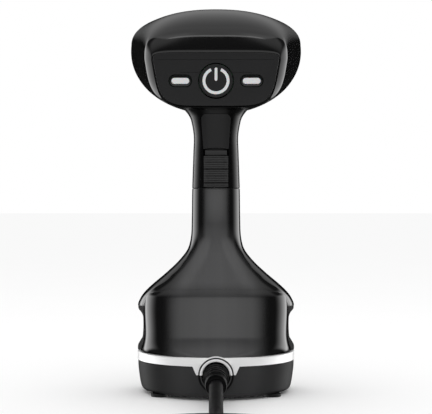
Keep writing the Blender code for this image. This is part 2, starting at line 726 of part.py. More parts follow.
def make_head():
    levels = [HEAD_REAR, -0.045, -0.042, -0.037, -0.029, -0.019, -0.007, 0.006, HEAD_WIDEST, HEAD_SHELL_FRONT]
    shell = head_loft(levels, 0.0, "head_shell", "gloss_black")
    inner_levels = [-0.0435, -0.041, -0.036, -0.028, -0.018, -0.006, 0.007, HEAD_WIDEST, 0.03]
    cut(shell, loft([head_ring(y, SHELL) for y in inner_levels]))
    cut(shell, loft([panel_ring(y, -GAP) for y in (-0.06, -0.040)]))
    cut(shell, handle_loft([0.220, 0.2290, 0.2360, HANDLE_TOP], -GAP))

    bezel_levels = [HEAD_SHELL_FRONT + GAP, 0.033, 0.038, 0.042, BEZEL_FRONT]
    bezel = head_loft(bezel_levels, 0.0, "head_bezel", "satin_black")
    cut(bezel, loft([plate_ring(y, -0.0004) for y in (HEAD_WIDEST, 0.06)]))

    plate_steps = ((0.0435, 0.0), (0.0500, 0.0), (PLATE_FRONT, 0.0016))
    plate = loft([plate_ring(y, inset) for y, inset in plate_steps], "steam_plate", "plate_steel")
    for x, z in steam_hole_places():
        cut(plate, turned([(0, 0.0016), (0.02, 0.0016)], (x, 0.036, z), (0, 1, 0), count=8))

    chamber = loft([plate_ring(y, 0.008) for y in (0.0230, 0.0432)], "steam_chamber", "cast_aluminium")
    cut(chamber, loft([plate_ring(y, 0.012) for y in (0.0390, 0.05)]))
    cut(chamber, turned([(0, 0.0020), (0.03, 0.0020)], (0, 0.015, 0.2625), (0, 1, 0), count=12))
    turned([(0, 0.0034), (0.0098, 0.0034)], (0, 0.0127, 0.2625), (0, 1, 0), "chamber_inlet", "brass", 16)

    half = [(-0.040, 0.2700), (-0.044, 0.2830), (-0.036, 0.2960), (-0.018, 0.3020)]
    element = [(x, 0.0190, z) for x, z in half] + [(-x, 0.0190, z) for x, z in half[::-1]]
    tube(smooth_path(element, 0.007), 0.0033, "heating_element", "steel")
    can = [(0, 0.0085), (0.0040, 0.0085), (0.0042, 0.0060), (0.0100, 0.0060)]
    turned(can, (0.0, 0.0226, 0.2795), (0, -1, 0), "thermostat", "ivory_plastic")
    turned([(0, 0.0028), (0.016, 0.0028)], (-0.008, 0.0193, 0.2930), (1, 0, 0), "thermal_fuse", "steel", 12)


PLATE_INSET = 0.0094


def plate_ring(y, inset):
    ring = head_ring(HEAD_WIDEST, PLATE_INSET + inset)
    return [Vector((p.x, y, p.z)) for p in ring]


def steam_hole_places():
    """Holes round an oval, with a short row inside it."""
    centre = 0.2800
    places = []
    for i in range(14):
        angle = 2 * math.pi * (i + 0.5) / 14
        places.append((0.048 * math.cos(angle), centre + 0.021 * math.sin(angle)))
    for i in range(5):
        places.append((0.013 * (i - 2), centre))
    return places


def panel_ring(y, inset):
    return upright_section(y, 0.0500 - inset, 0.2705, 0.2765 - inset, 0.2342 + inset, 5.5, 5.5, 0.13)


def make_panel():
    rings = [panel_ring(y, inset) for y, inset in ((-0.0438, 0.0), (-0.0472, 0.0), (-0.0476, 0.0005))]
    fascia = loft(rings, "control_panel", "panel_grey")
    cut(fascia, turned([(0, 0.0140), (0.03, 0.0140)], (0, -0.060, BUTTON_CENTRE), (0, 1, 0), count=32))
    board_front = -0.0385
    box((-0.040, board_front, 0.2440), (0.040, board_front + 0.0016, 0.2680), "panel_board", "circuit_green")
    box((-0.0060, -0.0430, 0.2480), (0.0060, board_front - GAP, 0.2600), "power_switch", "ivory_plastic")
    for side, x in (("left", -LAMP_OFFSET), ("right", LAMP_OFFSET)):
        centre = (x, BUTTON_CENTRE)
        cut(fascia, prism(pill(0.0093, 0.0049), -0.06, -0.03, centre=centre))
        rim = prism(pill(0.0090, 0.0046), -0.0472, -0.0438, f"{side}_lamp_rim", "gloss_black", centre)
        cut(rim, prism(pill(0.0075, 0.0029), -0.06, -0.03, centre=centre))
        prism(pill(0.0072, 0.0026), -0.0476, -0.0430, f"{side}_lamp_lens", "white_lens", centre)

    front = -0.0484
    disc = [(0, BUTTON_RADIUS), (0.0034, BUTTON_RADIUS), (0.0040, BUTTON_RADIUS - 0.0006)]
    button_back = (0, front + 0.0040, BUTTON_CENTRE)
    button = turned(disc, button_back, (0, -1, 0), "power_button", "panel_grey", 40)
    arc_outline = symbol_arc(0.0107, 0.0084, math.radians(24))
    bar_outline = [(-0.0011, 0.0), (0.0011, 0.0), (0.0011, 0.0105), (-0.0011, 0.0105)]
    centre = (0.0, BUTTON_CENTRE)
    bar_slot = [(x * 1.18, z * 1.03 - 0.0002) for x, z in bar_outline]
    for slot in (symbol_arc(0.0109, 0.0082, math.radians(23)), bar_slot):
        cut(button, prism(slot, -0.06, front + 0.0012, centre=centre))
    ring = prism(arc_outline, front - 0.0001, front + 0.0010, "power_symbol_ring", "white_lens", centre)
    bar = prism(bar_outline, front - 0.0001, front + 0.0010, "power_symbol_bar", "white_lens", centre)
    pivot(button, (0.0, front, BUTTON_CENTRE))
    attach(ring, button)
    attach(bar, button)


def symbol_arc(outer, inner, half_gap, steps=24):
    """Ring in X and Z that is open at its top."""
    angles = [math.pi / 2 + half_gap + (2 * math.pi - 2 * half_gap) * i / steps for i in range(steps + 1)]
    outside = [(outer * math.cos(a), outer * math.sin(a)) for a in angles]
    inside = [(inner * math.cos(a), inner * math.sin(a)) for a in reversed(angles)]
    return outside + inside


# Mains cord -----------------------------------------------------------------------------------


def rounded_ring(centre, outward, half_width, half_height, power, count):
    """Upright rounded section about a centre, half_width wide along `outward`."""
    ring = []
    for i in range(count):
        turn = 2 * math.pi * i / count
        across = half_width * power_of(math.cos(turn), power)
        ring.append(centre + across * outward + Vector((0, 0, half_height * power_of(math.sin(turn), power))))
    return ring


def make_cord():
    tube(smooth_path(CORD_ROUTE, 2.2 * CORD_DIAMETER), CORD_DIAMETER / 2, "mains_cord", "rubber", 3)
    centre = Vector((0, COIL_CENTRE, (COIL_BOTTOM + COIL_TOP) / 2))
    rings = []
    for i in range(32):
        angle = 2 * math.pi * i / 32
        outward = Vector((math.cos(angle), math.sin(angle), 0))
        section = centre + COIL_RADIUS * outward
        rings.append(rounded_ring(section, outward, COIL_HALF_WIDTH, centre.z - COIL_BOTTOM, 0.7, 12))
    loft(rings, "cord_coil", "rubber", closed_path=True)

    inner, outer = COIL_RADIUS - COIL_HALF_WIDTH, COIL_RADIUS + COIL_HALF_WIDTH
    strap_low = (inner - 0.0013, COIL_CENTRE - 0.004, 0.0003)
    strap_high = (outer + 0.0013, COIL_CENTRE + 0.004, COIL_TOP + 0.0013)
    room_low = (inner - 0.0004, COIL_CENTRE - 0.01, COIL_BOTTOM - 0.0004)
    room_high = (outer + 0.0004, COIL_CENTRE + 0.01, COIL_TOP + 0.0004)
    cut(box(strap_low, strap_high, "cord_tie", "matte_black"), box(room_low, room_high))


def make_plug():
    """Flat two-blade plug, lying on the coil with its blades towards +X."""
    axis = Vector((PLUG_X, COIL_CENTRE - COIL_RADIUS, COIL_TOP + GAP + PLUG_HALF_HEIGHT))
    stations = (
        (-0.0140, 0.0085, 0.0058),
        (-0.0090, 0.0118, 0.0066),
        (0.0090, 0.0122, PLUG_HALF_HEIGHT),
        (0.0130, 0.0118, 0.0064),
    )
    rings = []
    for along, half_width, half_height in stations:
        centre = axis + Vector((along, 0, 0))
        rings.append(rounded_ring(centre, Vector((0, 1, 0)), half_width, half_height, 0.55, 20))
    loft(rings, "plug_body", "rubber")
    sleeve = [(0, 0.0062), (0.004, 0.0066), (0.020, 0.0056)]
    turned(sleeve, axis - Vector((0.0143, 0, 0)), (-1, 0, 0), "plug_sleeve", "rubber", 16)
    for i, side in enumerate((-1, 1)):
        near = axis + Vector((0.0133, side * 0.00635 - 0.00075, -0.00315))
        box(near, near + Vector((0.0170, 0.0015, 0.0063)), f"plug_blade_{i + 1}", "brass")


for old in list(bpy.data.objects):
    bpy.data.objects.remove(old, do_unlink=True)

make_base()
make_outlet()
make_pump()
make_lower_shells()
make_tank()
make_handle()
make_head()
make_panel()
make_cord()
make_plug()
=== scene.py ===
"""Looks of a hand-held garment steamer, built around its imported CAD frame.

+Z is up, -Y is the side with the control panel and the cord, +Y the side with the steam plate.
All sizes are in metres.
"""

import json
import math

import bmesh
import bpy
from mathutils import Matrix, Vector


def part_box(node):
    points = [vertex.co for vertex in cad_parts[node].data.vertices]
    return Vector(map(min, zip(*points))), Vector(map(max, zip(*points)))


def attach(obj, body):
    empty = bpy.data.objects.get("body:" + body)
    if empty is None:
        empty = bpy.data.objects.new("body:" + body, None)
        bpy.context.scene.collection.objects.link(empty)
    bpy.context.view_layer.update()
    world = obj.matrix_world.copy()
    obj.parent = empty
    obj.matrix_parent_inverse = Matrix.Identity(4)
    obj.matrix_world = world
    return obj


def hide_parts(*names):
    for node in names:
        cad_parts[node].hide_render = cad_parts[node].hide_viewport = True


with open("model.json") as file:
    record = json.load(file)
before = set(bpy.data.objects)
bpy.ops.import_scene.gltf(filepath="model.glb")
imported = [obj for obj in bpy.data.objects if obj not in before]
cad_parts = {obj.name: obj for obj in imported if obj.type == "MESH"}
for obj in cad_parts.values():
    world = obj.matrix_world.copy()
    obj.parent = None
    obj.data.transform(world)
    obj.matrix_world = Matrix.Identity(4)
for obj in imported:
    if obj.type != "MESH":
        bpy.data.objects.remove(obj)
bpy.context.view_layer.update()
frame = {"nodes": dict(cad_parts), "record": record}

BODY_OF = {node: body for body, nodes in frame["record"]["behaviour"]["bodies"].items() for node in nodes}


def low(node):
    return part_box(node)[0]


def high(node):
    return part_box(node)[1]


def centre(node):
    return (low(node) + high(node)) / 2


# Driving sizes, read from the frame where it has them ----

GAP = 0.0003                # between neighbouring pieces
PAST = 0.09                 # beyond every side of the upright part
SHELL = 0.0025              # wall thickness
BAND_BOTTOM = 0.0275
BAND_TOP = high("trim_band").z
BASE_BOTTOM = low("base_housing").z
OUTLET = Vector((0.0, low("outlet_trim_upper").y, 0.0208))
OUTLET_BORE = 0.0141
OUTLET_RIM = 0.0131
COLLAR = 0.0149             # radius of the band's rim round the outlet
SKIRT_BOTTOM = low("front_shell").z
SEAM = low("handle_rear_shell").z
HANDLE_TOP = high("handle_rear_shell").z
SHELL_SPLIT = high("rear_shell").y
HEAD_REAR = low("head_shell").y
HEAD_FRONT = high("head_shell").y
HEAD_WIDEST = 0.020
BEZEL_FRONT = high("head_bezel").y
PLATE_FRONT = high("steam_plate").y
BUTTON = centre("power_button")
PANEL_REAR = low("control_panel").y
PANEL_SEAT = -0.0425        # y of the step inside the head that the panel rests on

# Camera and mains cord ----

camera_data = bpy.data.cameras.new("camera")
camera_data.sensor_width = 36.0
camera_data.lens = 105.4
camera = bpy.data.objects.new("camera", camera_data)
camera.location = (0.0, -1.05, 0.154)
camera.rotation_euler = (math.radians(90), 0, 0)
bpy.context.scene.collection.objects.link(camera)
bpy.context.scene.camera = camera

CORD_DIAMETER = 0.0105
COIL_RADIUS = 0.0575
COIL_CENTRE = centre("cord_coil")

# Cord from the strain relief's collar to the outside of the coil.
CORD_ROUTE = [
    (0.000, -0.0908, 0.0180),
    (0.000, -0.100, 0.0173),
    (0.000, -0.117, 0.0142),
    (0.000, -0.137, 0.0089),
    (0.000, -0.160, 0.0057),
    (-0.002, -0.185, 0.0056),
    (-0.008, -0.205, 0.0056),
    (-0.019, -0.2255, 0.0056),
]

BOOT_ROOT = Vector((0.0, high("cord_boot").y, 0.0208))
BOOT_END = Vector((0.0, low("cord_boot").y, 0.0180))
BOOT_AXIS = (BOOT_END - BOOT_ROOT).normalized()

RIB_TOP = 0.1961
RIB_PITCH = 0.0056

# Materials ----


class Graph:
    """A node tree with the few nodes that the materials and the studio share."""

    def __init__(self, tree):
        self.tree = tree

    def node(self, kind, **sockets):
        made = self.tree.nodes.new(kind)
        for socket, value in sockets.items():
            self.put(made.inputs[socket.replace("_", " ")], value)
        return made

    def put(self, socket, value):
        if isinstance(value, bpy.types.NodeSocket):
            self.tree.links.new(value, socket)
        else:
            socket.default_value = value

    def math(self, operation, first, second=None):
        made = self.tree.nodes.new("ShaderNodeMath")
        made.operation = operation
        self.put(made.inputs[0], first)
        if second is not None:
            self.put(made.inputs[1], second)
        return made.outputs[0]

    def total(self, operation, first, *others):
        for other in others:
            first = self.math(operation, first, other)
        return first

    def ramp(self, value, low_value, high_value, start=0.3, end=0.7):
        made = self.node("ShaderNodeMapRange", Value=value)
        limits = {"From Min": start, "From Max": end, "To Min": low_value, "To Max": high_value}
        for socket, limit in limits.items():
            made.inputs[socket].default_value = limit
        return made.outputs[0]

    def eased(self, value, low_value, high_value, start, end):
        made = self.ramp(value, low_value, high_value, start, end)
        made.node.interpolation_type = "SMOOTHSTEP"
        return made

    def split(self, vector):
        return self.node("ShaderNodeSeparateXYZ", Vector=vector).outputs


class Look(Graph):
    """A new material on the Principled shader, textured in the object's own coordinates."""

    def __init__(self, name):
        self.material = bpy.data.materials.new(name)
        self.material.use_nodes = True
        super().__init__(self.material.node_tree)
        self.shader = self.tree.nodes["Principled BSDF"]
        self.place = self.tree.nodes.new("ShaderNodeTexCoord").outputs["Object"]

    def noise(self, scale, detail=3.0, stretch=(1, 1, 1), roughness=0.5):
        mapped = self.node("ShaderNodeMapping", Vector=self.place, Scale=stretch)
        made = self.node("ShaderNodeTexNoise", Vector=mapped.outputs[0], Scale=scale, Detail=detail)
        made.inputs["Roughness"].default_value = roughness
        return made.outputs["Fac"]

    def wave(self, scale, direction):
        made = self.node("ShaderNodeTexWave", Vector=self.place, Scale=scale / (2 * math.pi), Distortion=0.0)
        made.bands_direction = direction
        return made.outputs["Fac"]

    def blend(self, value, first, second):
        made = self.tree.nodes.new("ShaderNodeMix")
        made.data_type = "RGBA"
        self.put(made.inputs["Factor"], value)
        self.put(made.inputs[6], (*first, 1.0))
        self.put(made.inputs[7], (*second, 1.0))
        return made.outputs[2]

    def bump(self, height, strength, distance, after=None):
        made = self.node("ShaderNodeBump", Height=height, Strength=strength, Distance=distance)
        if after is not None:
            self.put(made.inputs["Normal"], after)
        return made.outputs[0]

    def set(self, **sockets):
        for socket, value in sockets.items():
            self.put(self.shader.inputs[socket.replace("_", " ")], value)
        return self


def gloss(name, colour, roughness=0.07, specular=0.5):
    """Polished moulded plastic: faint flow marks, very slight orange peel and handling marks."""
    look = Look(name)
    flow = look.noise(34.0, 4.0, (1, 1, 0.35))
    marks = look.noise(420.0, 5.0)
    tint = look.blend(flow, colour, [c * 1.5 for c in colour])
    peel = look.bump(look.noise(95.0, 2.0), 0.03, 0.0006)
    look.set(
        Base_Color=tint,
        Roughness=look.ramp(marks, roughness * 0.75, roughness * 1.5),
        Normal=peel,
        Specular_IOR_Level=specular,
        IOR=1.5,
    )
    return look.material


def smoky(name, edge, middle):
    """Polished smoked plastic, with painted light: paler over the flat fan-shaped rear face, standing in for
    light that comes through it.
    """
    look = Look(name)
    x, y, z = look.split(look.place)
    # Painted light: the paler middle fades out towards the face's sides, is dimmer on the wall between the
    # foot and the fan, and dims towards the neck.
    half_width = look.ramp(z, 0.0440, 0.0118, 0.0870, 0.1300)
    ratio = look.math("DIVIDE", look.math("ABSOLUTE", x), half_width)
    face = look.eased(ratio, 1.0, 0.0, 0.62, 1.0)
    rear = look.eased(y, 1.0, 0.0, -0.016, -0.006)
    painted_lit_core = look.eased(ratio, 1.0, 0.72, 0.0, 0.8)
    foot = look.ramp(z, 1.0, 0.60, 0.040, 0.050)
    fan = look.ramp(z, 0.0, 0.40, 0.084, 0.094)
    neck = look.ramp(z, 1.0, 0.60, 0.116, 0.150)
    inner_lines = look.ramp(look.noise(210.0, 2.0, (1, 0.05, 0.03)), 0.94, 1.03)
    pale = look.total("MULTIPLY", face, rear, painted_lit_core, inner_lines, look.math("ADD", foot, fan), neck)
    marks = look.noise(420.0, 5.0)
    look.set(
        Base_Color=look.blend(pale, edge, middle),
        Roughness=look.ramp(marks, 0.05, 0.11),
        Normal=look.bump(look.noise(95.0, 2.0), 0.03, 0.0006),
        IOR=1.5,
    )
    return look.material


def textured(name, colour, roughness, grain=2600.0, strength=0.25, specular=0.3, middle=None):
    """Spark-eroded satin or matte plastic: an even fine grain with soft cloudy variation.

    Where a middle colour is given, it is painted light: a paler middle that fades into the other one towards
    the object's sides.
    """
    look = Look(name)
    cloud = look.noise(26.0, 4.0)
    fine = look.noise(grain, 3.0, roughness=0.6)
    cloud_and_painted_light = look.math("MULTIPLY", cloud, 0.3)
    if middle:
        # Painted light: the middle colour is strongest near x = 0 and fades out towards the sides.
        aside = look.math("ABSOLUTE", look.split(look.place)[0])
        cloud_and_painted_light = look.math("ADD", look.eased(aside, 0.8, 0.0, 0.026, 0.053), cloud_and_painted_light)
    look.set(
        Base_Color=look.blend(cloud_and_painted_light, colour, middle or [c * 2.0 for c in colour]),
        Roughness=look.ramp(fine, roughness - 0.06, roughness + 0.08),
        Normal=look.bump(fine, strength, 0.00012),
        Specular_IOR_Level=specular,
        IOR=1.48,
    )
    return look.material


def rubber(name, colour, roughness=0.62, specular=0.3):
    """Soft moulded rubber with a dusty bloom and a coarse, shallow grain."""
    look = Look(name)
    bloom = look.noise(60.0, 6.0, roughness=0.65)
    grain = look.noise(1500.0, 2.0)
    look.set(
        Base_Color=look.blend(bloom, colour, [c * 1.7 for c in colour]),
        Roughness=look.ramp(bloom, roughness - 0.06, roughness + 0.14),
        Normal=look.bump(grain, 0.3, 0.00015),
        Specular_IOR_Level=specular,
        IOR=1.5,
    )
    return look.material


def ribbed(name, crest, floor):
    """Ribbed rubber: plain crests, and painted shade as dark lines at the ribs' pitch with every sixth one
    darkest.
    """
    look = Look(name)
    down = look.math("SUBTRACT", RIB_TOP, look.split(look.place)[2])
    # Painted shade: dark lines in the floor colour where the ribs' grooves lie.
    painted_shades = []
    for spacing, start, end in ((RIB_PITCH / 3, 0.12, 0.26), (RIB_PITCH * 2, 0.04, 0.08)):
        turn = look.math("FRACT", look.math("ADD", look.math("DIVIDE", down, spacing), 0.5))
        off = look.math("ABSOLUTE", look.math("SUBTRACT", turn, 0.5))
        painted_shades.append(look.ramp(off, 1.0, 0.0, start, end))
    groove = look.math("MAXIMUM", look.math("MULTIPLY", painted_shades[0], 0.6), painted_shades[1])
    bloom = look.noise(60.0, 6.0, roughness=0.65)
    look.set(
        Base_Color=look.blend(groove, crest, floor),
        Roughness=look.ramp(bloom, 0.44, 0.62),
        Normal=look.bump(look.noise(1500.0, 2.0), 0.3, 0.00015),
        Specular_IOR_Level=0.3,
        IOR=1.5,
    )
    return look.material


def metal(name, colour, roughness, stretch, streak=1.0, metallic=1.0):
    """Metal with drawn or brushed streaks that run along the directions left unstretched."""
    look = Look(name)
    lines = look.noise(900.0, 3.0, stretch, 0.7)
    cloud = look.noise(18.0, 3.0)
    look.set(
        Base_Color=look.blend(look.ramp(lines, 0.0, 1.0), [c * 0.93 for c in colour], colour),
        Metallic=metallic,
        Roughness=look.ramp(lines, roughness * 0.8, roughness * 1.25),
        Normal=look.bump(lines, 0.08 * streak, 0.00005, look.bump(cloud, 0.02, 0.0004)),
    )
    return look.material


def cast(name, colour):
    """Die-cast aluminium: sandy bumps and dull patches."""
    look = Look(name)
    sand = look.noise(900.0, 4.0, roughness=0.7)
    patch = look.noise(45.0, 4.0)
    look.set(
        Base_Color=look.blend(patch, [c * 0.8 for c in colour], colour),
        Metallic=0.9,
        Roughness=look.ramp(patch, 0.45, 0.67),
        Normal=look.bump(sand, 0.4, 0.0003),
    )
    return look.material


def clear(name, colour):
    """Smoked see-through plastic, slightly uneven where it flowed in the mould."""
    look = Look(name)
    flow = look.noise(40.0, 3.0, (1, 1, 0.3))
    look.set(
        Base_Color=look.blend(flow, colour, [c * 1.25 for c in colour]),
        Roughness=look.ramp(flow, 0.035, 0.075),
        Transmission_Weight=0.9,
        IOR=1.5,
        Normal=look.bump(look.noise(70.0, 2.0), 0.03, 0.0005),
    )
    return look.material


def woven(name, colour):
    """Close nylon webbing: crossing yarns with a fuzzy sheen."""
    look = Look(name)
    warp = look.wave(1500.0, "X")
    weft = look.wave(1500.0, "Y")
    yarn = look.math("MULTIPLY", warp, weft)
    look.set(
        Base_Color=look.blend(yarn, colour, [c * 2.6 for c in colour]),
        Roughness=look.ramp(yarn, 0.85, 0.6, 0.0, 1.0),
        Normal=look.bump(yarn, 0.6, 0.0002),
        Sheen_Weight=0.3,
    )
    return look.material


def lit(name, colour, glow):
    """Milky light guide: soft depth inside the plastic and a faint even light of its own."""
    look = Look(name)
    haze = look.noise(700.0, 3.0)
    look.set(
        Base_Color=look.blend(haze, [c * 0.95 for c in colour], colour),
        Roughness=look.ramp(haze, 0.28, 0.42),
        Emission_Color=(*colour, 1.0),
        Emission_Strength=glow,
        Subsurface_Weight=0.2,
        Subsurface_Scale=0.001,
        IOR=1.49,
    )
    return look.material


def circuit(name):
    """Solder-masked board: copper runs showing through green, and paler pads."""
    look = Look(name)
    runs = look.node("ShaderNodeTexBrick", Vector=look.place, Scale=160.0)
    for socket, value in (("Color1", 0.0), ("Color2", 0.25), ("Mortar", 1.0)):
        runs.inputs[socket].default_value = (value, value, value, 1.0)
    runs.inputs["Mortar Size"].default_value = 0.03
    lines = runs.outputs["Fac"]
    look.set(
        Base_Color=look.blend(lines, (0.012, 0.10, 0.035), (0.05, 0.22, 0.07)),
        Roughness=look.ramp(look.noise(300.0), 0.25, 0.4),
        Normal=look.bump(lines, 0.5, 0.0001),
    )
    return look.material


BLACK = (0.0012, 0.0012, 0.0013)
gloss_black = gloss("gloss_black_plastic", BLACK)
# The smoked body's paler middle colour is painted light.
smoky_body = smoky("smoky_body_plastic", BLACK, (0.080, 0.080, 0.0812))
handle_black = gloss("handle_black_plastic", BLACK, 0.18, 0.2)
inner_black = gloss("ring_black_plastic", BLACK, 0.16)
satin_black = textured("satin_black_plastic", (0.010, 0.010, 0.0105), 0.42)
# The base housing's paler middle colour is painted light.
base_black = textured(
    "base_satin_black", (0.003, 0.003, 0.0031), 0.45, specular=0.06, middle=(0.040, 0.040, 0.0408)
)
grip_black = textured("grip_matte_black", (0.013, 0.013, 0.0135), 0.40, 1900.0, 0.35)
panel_black = textured("panel_matte_black", (0.0105, 0.0105, 0.011), 0.42, 3200.0, 0.3)
smoked = clear("smoked_tank_plastic", (0.010, 0.010, 0.012))
soft_black = rubber("black_rubber", (0.005, 0.005, 0.0053))
# The boot's rubber is darker than the cord's: black rubber with painted shade for the shadow near the base.
boot_black = rubber("boot_rubber", (0.001, 0.001, 0.00105), 0.26, 0.07)
rib_black = ribbed("ribbed_rubber", (0.034, 0.034, 0.0345), (0.004, 0.004, 0.0041))
cord_black = rubber("cord_jacket_rubber", (0.0045, 0.0045, 0.0047), 0.42, 0.12)
band_metal = metal("satin_trim_silver", (0.93, 0.93, 0.93), 0.36, (0.05, 0.05, 6.0), metallic=0.15)
plate_metal = metal("satin_plate_steel", (0.50, 0.51, 0.53), 0.28, (0.06, 1.0, 4.0), 0.6, metallic=0.45)
plain_steel = metal("plain_steel", (0.50, 0.51, 0.53), 0.32, (1.0, 1.0, 0.2))
blade_nickel = metal("plug_blade_nickel", (0.78, 0.74, 0.62), 0.22, (0.1, 1.0, 3.0))
inlet_brass = metal("inlet_brass", (0.72, 0.50, 0.22), 0.3, (1.0, 0.1, 1.0))
strap_nylon = woven("cord_tie_nylon", (0.016, 0.016, 0.017))
chamber_metal = cast("cast_aluminium", (0.58, 0.59, 0.61))
white_light = lit("white_light_guide", (0.60, 0.605, 0.61), 0.10)
ivory = textured("ivory_plastic", (0.62, 0.60, 0.54), 0.42, 1200.0, 0.2)
silicone = textured("silicone_hose", (0.60, 0.61, 0.58), 0.38, 700.0, 0.15)
green_board = circuit("circuit_board")

# Outlines and sections ----

AROUND = 176    # points round the plastic covers


def power_of(value, exponent):
    return math.copysign(abs(value) ** exponent, value)


def between(value, stations):
    """Value of each column at `value`, eased through the stations' rows by a cubic."""
    keys, *columns = zip(*stations)
    value = min(max(value, keys[0]), keys[-1])
    i = max(k for k in range(len(keys) - 1) if keys[k] <= value)
    step = keys[i + 1] - keys[i]
    t = (value - keys[i]) / step
    found = []
    for column in columns:
        slopes = []
        for k in (i, i + 1):
            before, after = max(k - 1, 0), min(k + 1, len(keys) - 1)
            slopes.append((column[after] - column[before]) / (keys[after] - keys[before]))
        found.append(
            column[i] * (1 + 2 * t) * (1 - t) ** 2
            + column[i + 1] * t * t * (3 - 2 * t)
            + step * (slopes[0] * t * (1 - t) ** 2 - slopes[1] * t * t * (1 - t))
        )
    return found


def plan_section(z, half_width, rear, front, waist, rear_power, front_power):
    """Level superellipse at height z whose rear and front halves have their own depth."""
    ring = []
    for c, s in circle(AROUND):
        power = rear_power if s < 0 else front_power
        depth = waist - rear if s < 0 else front - waist
        ring.append(Vector((half_width * power_of(c, 2 / power), waist + depth * power_of(s, 2 / power), z)))
    return ring


def upright_section(y, half_width, widest, top, bottom, upper_power, lower_power, taper):
    """Upright superellipse at y, widest at height `widest` and narrowed towards its bottom."""
    ring = []
    for c, s in circle(AROUND):
        power = lower_power if s < 0 else upper_power
        rise = power_of(s, 2 / power)
        narrowing = 1 + taper * min(rise, 0)
        height = top - widest if s > 0 else widest - bottom
        ring.append(Vector((half_width * power_of(c, 2 / power) * narrowing, y, widest + height * rise)))
    return ring


def polar(angle, radius=1.0, x=0.0, y=0.0):
    """Point at an angle on a circle round (x, y)."""
    return x + radius * math.cos(angle), y + radius * math.sin(angle)


def circle(count, radius=1.0):
    """Evenly spaced points round a circle."""
    return [polar(2 * math.pi * i / count, radius) for i in range(count)]


def pill(half_length, radius, steps=14):
    """Flat outline with round ends, in X and Z about the origin."""
    outline = []
    for side, start in ((1, -90), (-1, 90)):
        for i in range(steps + 1):
            angle = math.radians(start + 180 * i / steps)
            outline.append(polar(angle, radius, (half_length - radius) * side))
    return outline


def stack(ring_at, first, last, steps, first_edge=0.0, last_edge=0.0, base_inset=0.0):
    """Rings from first to last whose ends are rounded over by the given edge radii."""
    way = 1 if last > first else -1
    places = []
    turns = 6
    for k in range(turns if first_edge else 0):
        angle = math.pi / 2 * k / turns
        places.append((first + way * first_edge * (1 - math.cos(angle)), first_edge * (1 - math.sin(angle))))
    start, end = first + way * first_edge, last - way * last_edge
    places += [(start + (end - start) * k / steps, 0.0) for k in range(steps + 1)]
    for k in range(turns - 1 if last_edge else -1, -1, -1):
        angle = math.pi / 2 * k / turns
        places.append((last - way * last_edge * (1 - math.cos(angle)), last_edge * (1 - math.sin(angle))))
    return [ring_at(level, inset + base_inset) for level, inset in places]


# Meshes ----


def add(name, data):
    made = bpy.data.objects.new(name, data)
    bpy.context.scene.collection.objects.link(made)
    return made


def smooth(mesh, sharp=32):
    mesh.shade_smooth()
    mesh.set_sharp_from_angle(angle=math.radians(sharp))


def mesh_of(name, bm):
    bmesh.ops.recalc_face_normals(bm, faces=bm.faces)
    mesh = bpy.data.meshes.new(name)
    bm.to_mesh(mesh)
    bm.free()
    smooth(mesh)
    return add(name, mesh)


def skin(name, rings, closed_path=False):
    """Skin rings with equal counts of points; a closed path has no caps."""
    bm = bmesh.new()
    rows = [[bm.verts.new(p) for p in ring] for ring in rings]
    count = len(rows[0])
    pairs = list(zip(rows, rows[1:]))
    if closed_path:
        pairs.append((rows[-1], rows[0]))
    for first, second in pairs:
        for i in range(count):
            j = (i + 1) % count
            bm.faces.new((first[i], first[j], second[j], second[i]))
    if not closed_path:
        bm.faces.new(rows[0])
        bm.faces.new(rows[-1])
    return mesh_of(name, bm)


def box(corner, other, name="cutter", edge=0.0):
    """Box between two corners, with its edges rounded over if an edge radius is given."""
    bm = bmesh.new()
    bmesh.ops.create_cube(bm, size=1.0)
    a, b = Vector(corner), Vector(other)
    for vert in bm.verts:
        vert.co = Vector((a[i] + (b[i] - a[i]) * (vert.co[i] + 0.5) for i in range(3)))
    if edge:
        bmesh.ops.bevel(bm, geom=bm.edges[:], offset=edge, segments=3, profile=0.5, affect="EDGES")
    return mesh_of(name, bm)


def prism(outline, first, last, name="cutter", middle=(0.0, 0.0), edge=0.0):
    """Outline in X and Z, extruded along Y, with its border rounded over at `first`."""
    bm = bmesh.new()
    face = bm.faces.new([bm.verts.new((x + middle[0], first, z + middle[1])) for x, z in outline])
    grown = bmesh.ops.extrude_face_region(bm, geom=[face])
    moved = [v for v in grown["geom"] if isinstance(v, bmesh.types.BMVert)]
    for vert in moved:
        vert.co.y = last
    if edge:
        rim = [e for e in bm.edges if all(abs(v.co.y - first) < 1e-7 for v in e.verts)]
        bmesh.ops.bevel(bm, geom=rim, offset=edge, segments=3, profile=0.5, affect="EDGES")
    return mesh_of(name, bm)


def turned(profile, origin, axis, name="cutter", count=64, closed_path=False):
    """Turn (distance along the axis, radius) pairs about an axis through the origin."""
    turn = Vector((0, 0, 1)).rotation_difference(Vector(axis)).to_matrix()
    rings = []
    for along, radius in profile:
        rings.append([Vector(origin) + turn @ Vector((x, y, along)) for x, y in circle(count, radius)])
    return skin(name, rings, closed_path)


def rounded(profile, edge):
    """A turned profile of (along, radius) pairs with its first and last rims rounded over."""
    steps = 4
    (a0, r0), (a1, r1) = profile[0], profile[-1]
    first, last = [], []
    for k in range(steps + 1):
        angle = math.pi / 2 * k / steps
        first.append((a0 + edge * (1 - math.cos(angle)), r0 - edge * (1 - math.sin(angle))))
        last.append((a1 - edge * (1 - math.cos(angle)), r1 - edge * (1 - math.sin(angle))))
    return first + profile[1:-1] + last[::-1]


